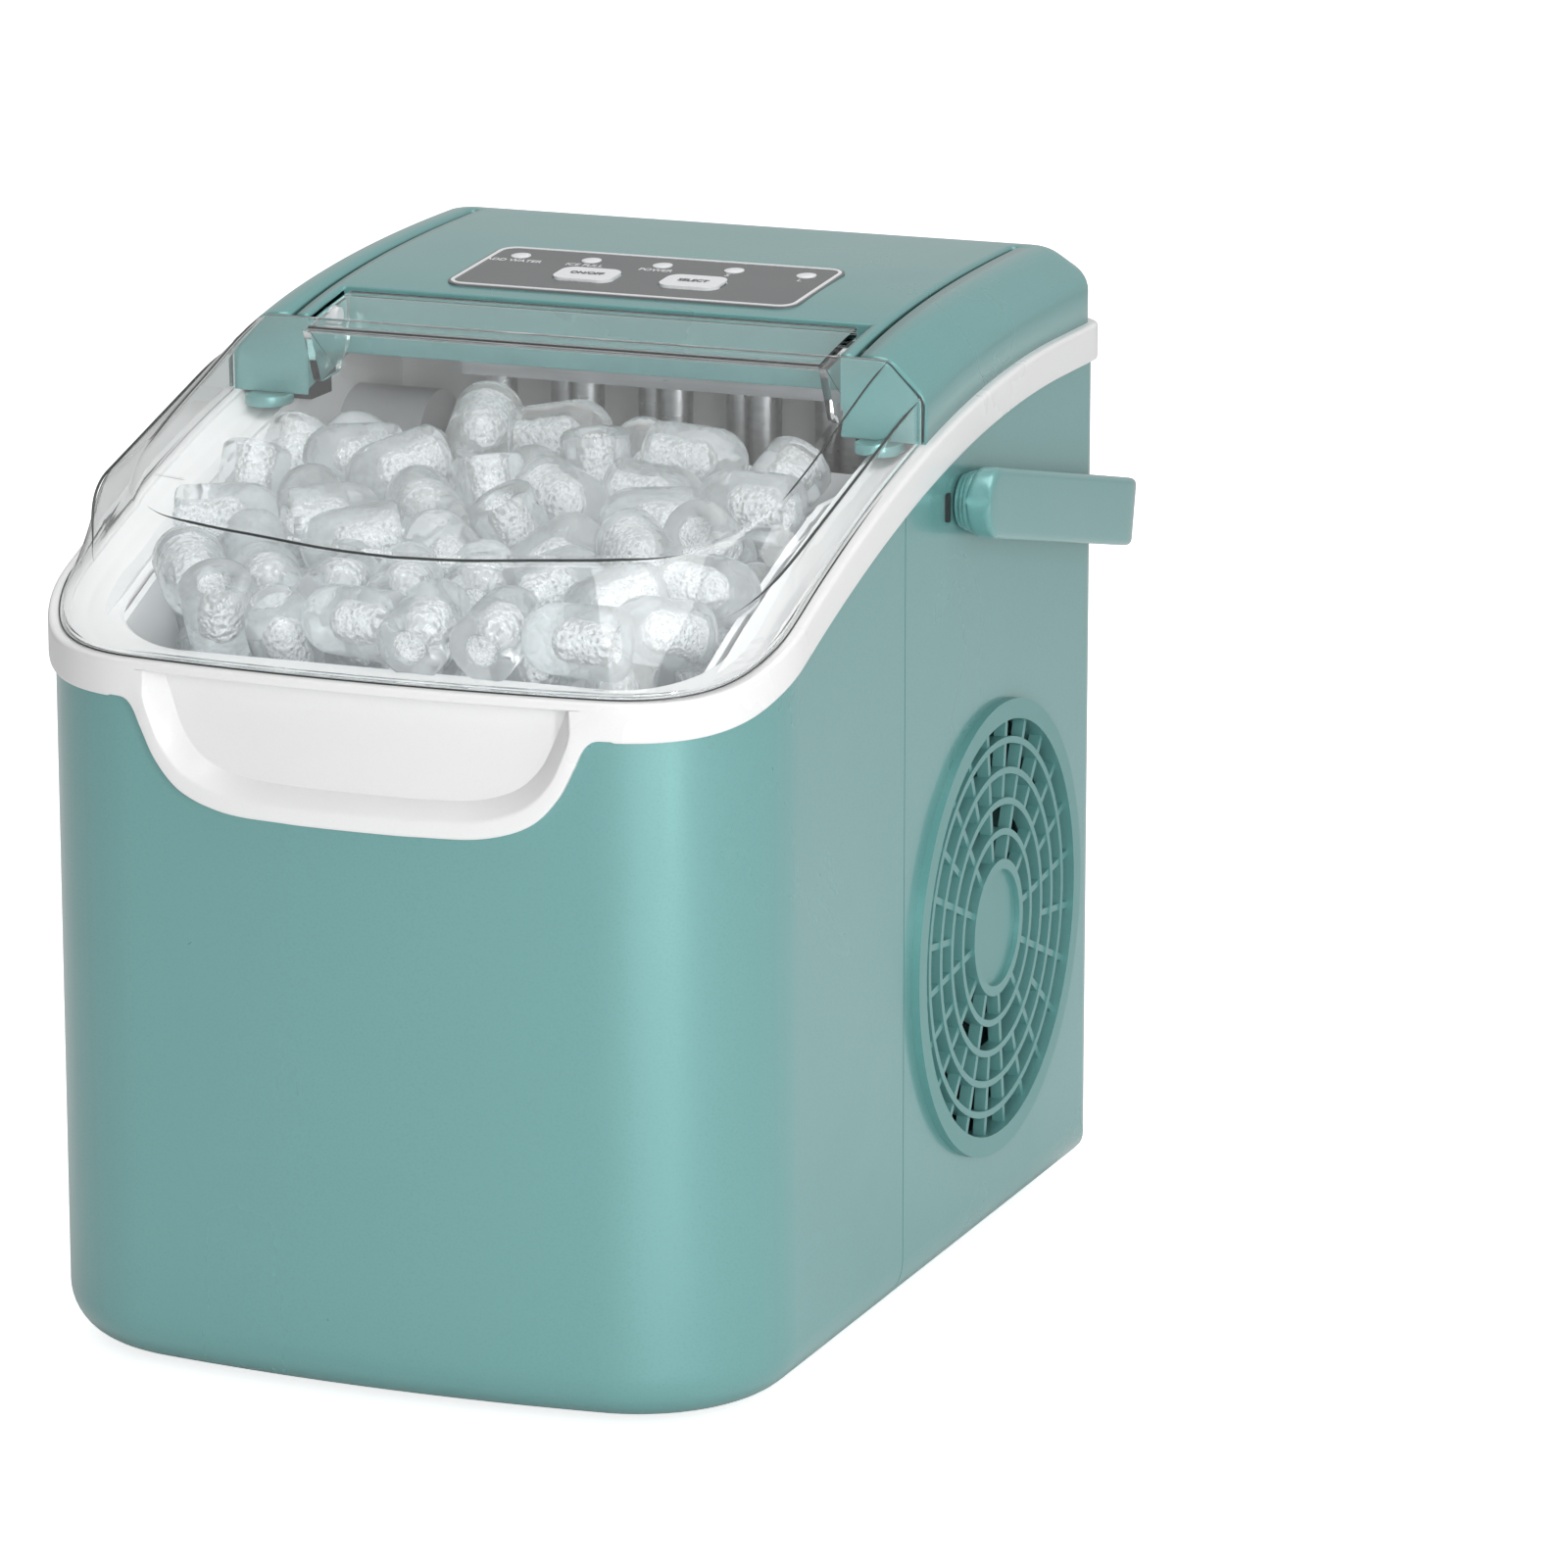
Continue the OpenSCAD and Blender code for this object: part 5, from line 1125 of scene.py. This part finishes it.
start = -np.cos(np.linspace(0.10, math.pi / 2, 14)) * ARM_H / 2
mid_x, mid_end, corner_r = ARM_X + ARM_T / 2, HANDLE_END - 4.25, 21.2
turn = np.linspace(0, math.pi / 2, 16)
u_line = np.concatenate([
    np.column_stack([np.full_like(start, mid_x), start]),
    np.column_stack([np.full(22, mid_x), np.linspace(0, mid_end - corner_r, 23)[1:]]),
    np.column_stack([mid_x - corner_r + corner_r * np.cos(turn),
                     mid_end - corner_r + corner_r * np.sin(turn)])[1:],
    np.column_stack([np.linspace(mid_x - corner_r, 0, 14)[1:], np.full(13, mid_end)])])
u_line = np.concatenate([u_line, (u_line[::-1] * np.array([-1.0, 1.0]))[1:]])
along = np.gradient(u_line, axis=0)
along /= np.linalg.norm(along, axis=1, keepdims=True)
outward = np.stack([along[:, 1], -along[:, 0]], -1)
nose = np.sqrt(np.clip((ARM_H / 2) ** 2 - u_line[:, 1] ** 2, 0.8, None))
tall = np.where(u_line[:, 1] < 0, nose, ARM_H / 2)
thick = np.where(u_line[:, 1] > mid_end - 12, 8.5, ARM_T) / 2
thick = np.convolve(np.pad(thick, 3, mode="edge"), np.ones(7) / 7, mode="valid")
corner_set = np.array([(1, -1), (1, 1), (-1, 1), (-1, -1)], float)
side_off = corner_set[None, :, 0] * thick[:, None]
high_off = corner_set[None, :, 1] * tall[:, None]
profile4 = np.stack([side_off, high_off], -1)
profile_soft = soften(profile4, 2.4, 6)
bar = np.concatenate([u_line[:, None] + outward[:, None] * profile_soft[..., :1], profile_soft[..., 1:]], -1)
handle_bar = loft("handle_bar", on_handle(bar), teal, body="handle", slot="teal_plastic", crease=50)


def turned(name, outline, centre, material, body="casing", around=40, **where):
    """A turned piece: an (along axis, radius) outline spun about the x axis through a centre."""
    t = np.linspace(0, 2 * math.pi, around + 1)[:-1]
    a, r = outline[:, 0], outline[:, 1]
    spun = np.stack([np.repeat(a[None], around, 0), r[None] * np.cos(t)[:, None],
                     r[None] * np.sin(t)[:, None]], -1) + centre
    return piece(name, spun.reshape(-1, 3), [cells(around, len(a), wrap_rows=True, wrap_cols=True)], material,
                 body=body, **where)


# %% [markdown]
# Each arm joins its pivot through a short stepped collar, and the body has a low boss with a stop slot
# in front of it.

# %% Pivot collars
collar = soften([(0.7, 4.8), (0.7, 7.9), (2.0, 7.9), (2.3, 8.6), (3.4, 8.6), (3.7, 9.0), (5.6, 9.0),
                 (5.6, 4.8)], 0.35, 3)
for side_name, s in (("right", 1), ("left", -1)):
    outline = collar.copy()
    outline[:, 0] = s * (HALF_W + outline[:, 0])
    turned("handle_collar_" + side_name, outline, PIVOT, teal, body="handle", slot="teal_plastic", crease=50)
    slot_line = PIVOT[1:] + [(-13.2, -4.0), (-10.6, -4.4), (-10.6, 4.4), (-13.2, 4.0)]
    across("handle_stop_" + side_name, soften(slot_line, 0.8, 4), s * (HALF_W + np.array([-0.6, 0.5, 0.8])),
           black_plastic)
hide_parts("carry_handle")

# %% [markdown]
# ## The control panel
# The panel lies in a shallow recess on the sloping cover. It is a printed grey sheet with a thin
# white border, five small lenses and two white keys. Everything on it is drawn flat, in the panel's
# own coordinates, and laid on the slope by one function.

# %% Panel frame and keys
PANEL_W, PANEL_L, PANEL_T, RECESS = 112.0, 46.0, 1.8, 1.2
panel_front = COVER_Y + 25 + 8
panel_ends = top_z(np.array([panel_front, panel_front + PANEL_L]))
TILT = math.atan((panel_ends[1] - panel_ends[0]) / PANEL_L)
PANEL_MID = np.array([0, panel_front + PANEL_L / 2, panel_ends.mean()])


def on_panel(points):
    """Panel coordinates (x, up the slope, off the surface) to the body's: tilted, then moved into place."""
    x, u, h = points[..., 0], points[..., 1], points[..., 2] - RECESS
    return np.stack([x, PANEL_MID[1] + u * math.cos(TILT) - h * math.sin(TILT),
                     PANEL_MID[2] + u * math.sin(TILT) + h * math.cos(TILT)], -1)


def round_rect(w, l, r, steps=7):
    """A rectangle w by l whose corners are quarter circles of radius r, anticlockwise."""
    t = np.linspace(0, math.pi / 2, steps)
    parts = [np.column_stack([cx * (w / 2 - r) + r * np.cos(t + k), cy * (l / 2 - r) + r * np.sin(t + k)])
             for cx, cy, k in ((1, 1, 0), (-1, 1, math.pi / 2), (-1, -1, math.pi), (1, -1, 1.5 * math.pi))]
    return np.concatenate(parts)


def stacked(name, layers, place, material, **where):
    """A solid built of outlines one above another, closed by flat ends: each layer is (outline, height)."""
    rings = np.stack([place(np.column_stack([o, np.broadcast_to(np.asarray(h, float), len(o))]))
                      for o, h in layers])
    return loft(name, rings, material, **where)


border_rings = []
for w, h in ((0.0, PANEL_T - 0.3), (0.0, PANEL_T + 0.22), (2.2, PANEL_T + 0.22), (2.2, PANEL_T - 0.3)):
    o = round_rect(PANEL_W - 1.6 - w, PANEL_L - 1.6 - w, 5.2 - w / 2)
    border_rings.append(on_panel(np.column_stack([o, np.full(len(o), h)])))
loft("panel_border", np.stack(border_rings, 1), panel_white, closed=True)
KEY_W, KEY_L, KEY_R = 19.0, 13.0, 4.0
key_profile = [(-0.6, -2.2), (-0.2, 1.0), (0.0, 1.6), (0.0, 2.05), (-0.35, 2.45), (-1.2, 2.7), (-4.0, 2.62)]
for key, x0 in (("power_button", -17.0), ("select_button", 17.0)):
    layers = [(round_rect(KEY_W + 2 * d, KEY_L + 2 * d, max(KEY_R + d, 0.35)) + [x0, -4.5], h)
              for d, h in key_profile]
    stacked(key + "_cap", layers, on_panel, panel_white, body=key, slot="white_plastic", crease=60)
for k in range(5):
    t = np.linspace(0, 2 * math.pi, 25)[:-1]
    rings = np.stack([np.column_stack([r * np.cos(t) + (k - 2) * 23.0, r * np.sin(t) + 12.7, np.full(24, h)])
                      for h, r in ((-2.0, 2.9), (1.6, 2.9), (1.95, 2.8), (2.15, 2.3), (2.25, 1.2))])
    loft(f"lens_{k}", on_panel(rings), panel_white, slot="lens", crease=60)

for side_name, s in (("right", 1), ("left", -1)):
    t = np.linspace(0, math.pi, 15)
    plan = np.column_stack([s * (96 + 6.5 * np.cos(t)), COVER_Y - 3.5 - 5.5 * np.sin(t)])
    plan = np.concatenate([plan, [[s * 89.5, COVER_Y + 1.5], [s * 102.5, COVER_Y + 1.5]]])
    middle = plan.mean(0)
    stacked("cover_lobe_" + side_name, [(middle + (plan - middle) * k, z) for k, z in
                                        ((0.94, 249.6), (1.0, 250.2), (1.0, 252.0), (0.95, 252.6))],
            lambda points: points, teal, slot="teal_plastic", crease=60)

# %% [markdown]
# ## Printed words
# Plain words mark the lamps and keys. Each is made as text, turned into a mesh, and only then laid
# on the slope, a hair above the sheet it is printed on.

# %% Words on the panel
def word(text, x0, u0, size, height, material, body="casing", narrow=0.86):
    """Text as a flat mesh, moved into the panel's coordinates and laid on it."""
    curve = bpy.data.curves.new("text", "FONT")
    curve.body, curve.size, curve.align_x, curve.align_y = text, size, "CENTER", "CENTER"
    curve.extrude, curve.offset = 0.03, 0.05
    temp = bpy.data.objects.new("text", curve)
    bpy.context.scene.collection.objects.link(temp)
    bpy.context.view_layer.update()
    graph = bpy.context.evaluated_depsgraph_get()
    mesh = bpy.data.meshes.new_from_object(temp.evaluated_get(graph))
    bpy.data.objects.remove(temp)
    flat = np.zeros(len(mesh.vertices) * 3)
    mesh.vertices.foreach_get("co", flat)
    local = flat.reshape(-1, 3) * [narrow, 1, 1] + [x0, u0, height]
    mesh.vertices.foreach_set("co", to_row(on_panel(local)).ravel())
    mesh.materials.clear()
    mesh.materials.append(material)
    name = "word_" + "".join(c if c.isalnum() else "_" for c in text.lower())
    made = bpy.data.objects.new(name, mesh)
    bpy.context.scene.collection.objects.link(made)
    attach(made, body)
    return made


for text, x0 in (("ADD WATER", -46), ("ICE FULL", -23), ("POWER", 0), ("S", 23), ("L", 46)):
    word(text, x0, 7.2, 3.6, PANEL_T + 0.06, letter_white)
word("ON/OFF", -17, -4.5, 3.4, 2.86, letter_grey, body="power_button")
word("SELECT", 17, -4.5, 3.4, 2.86, letter_grey, body="select_button")
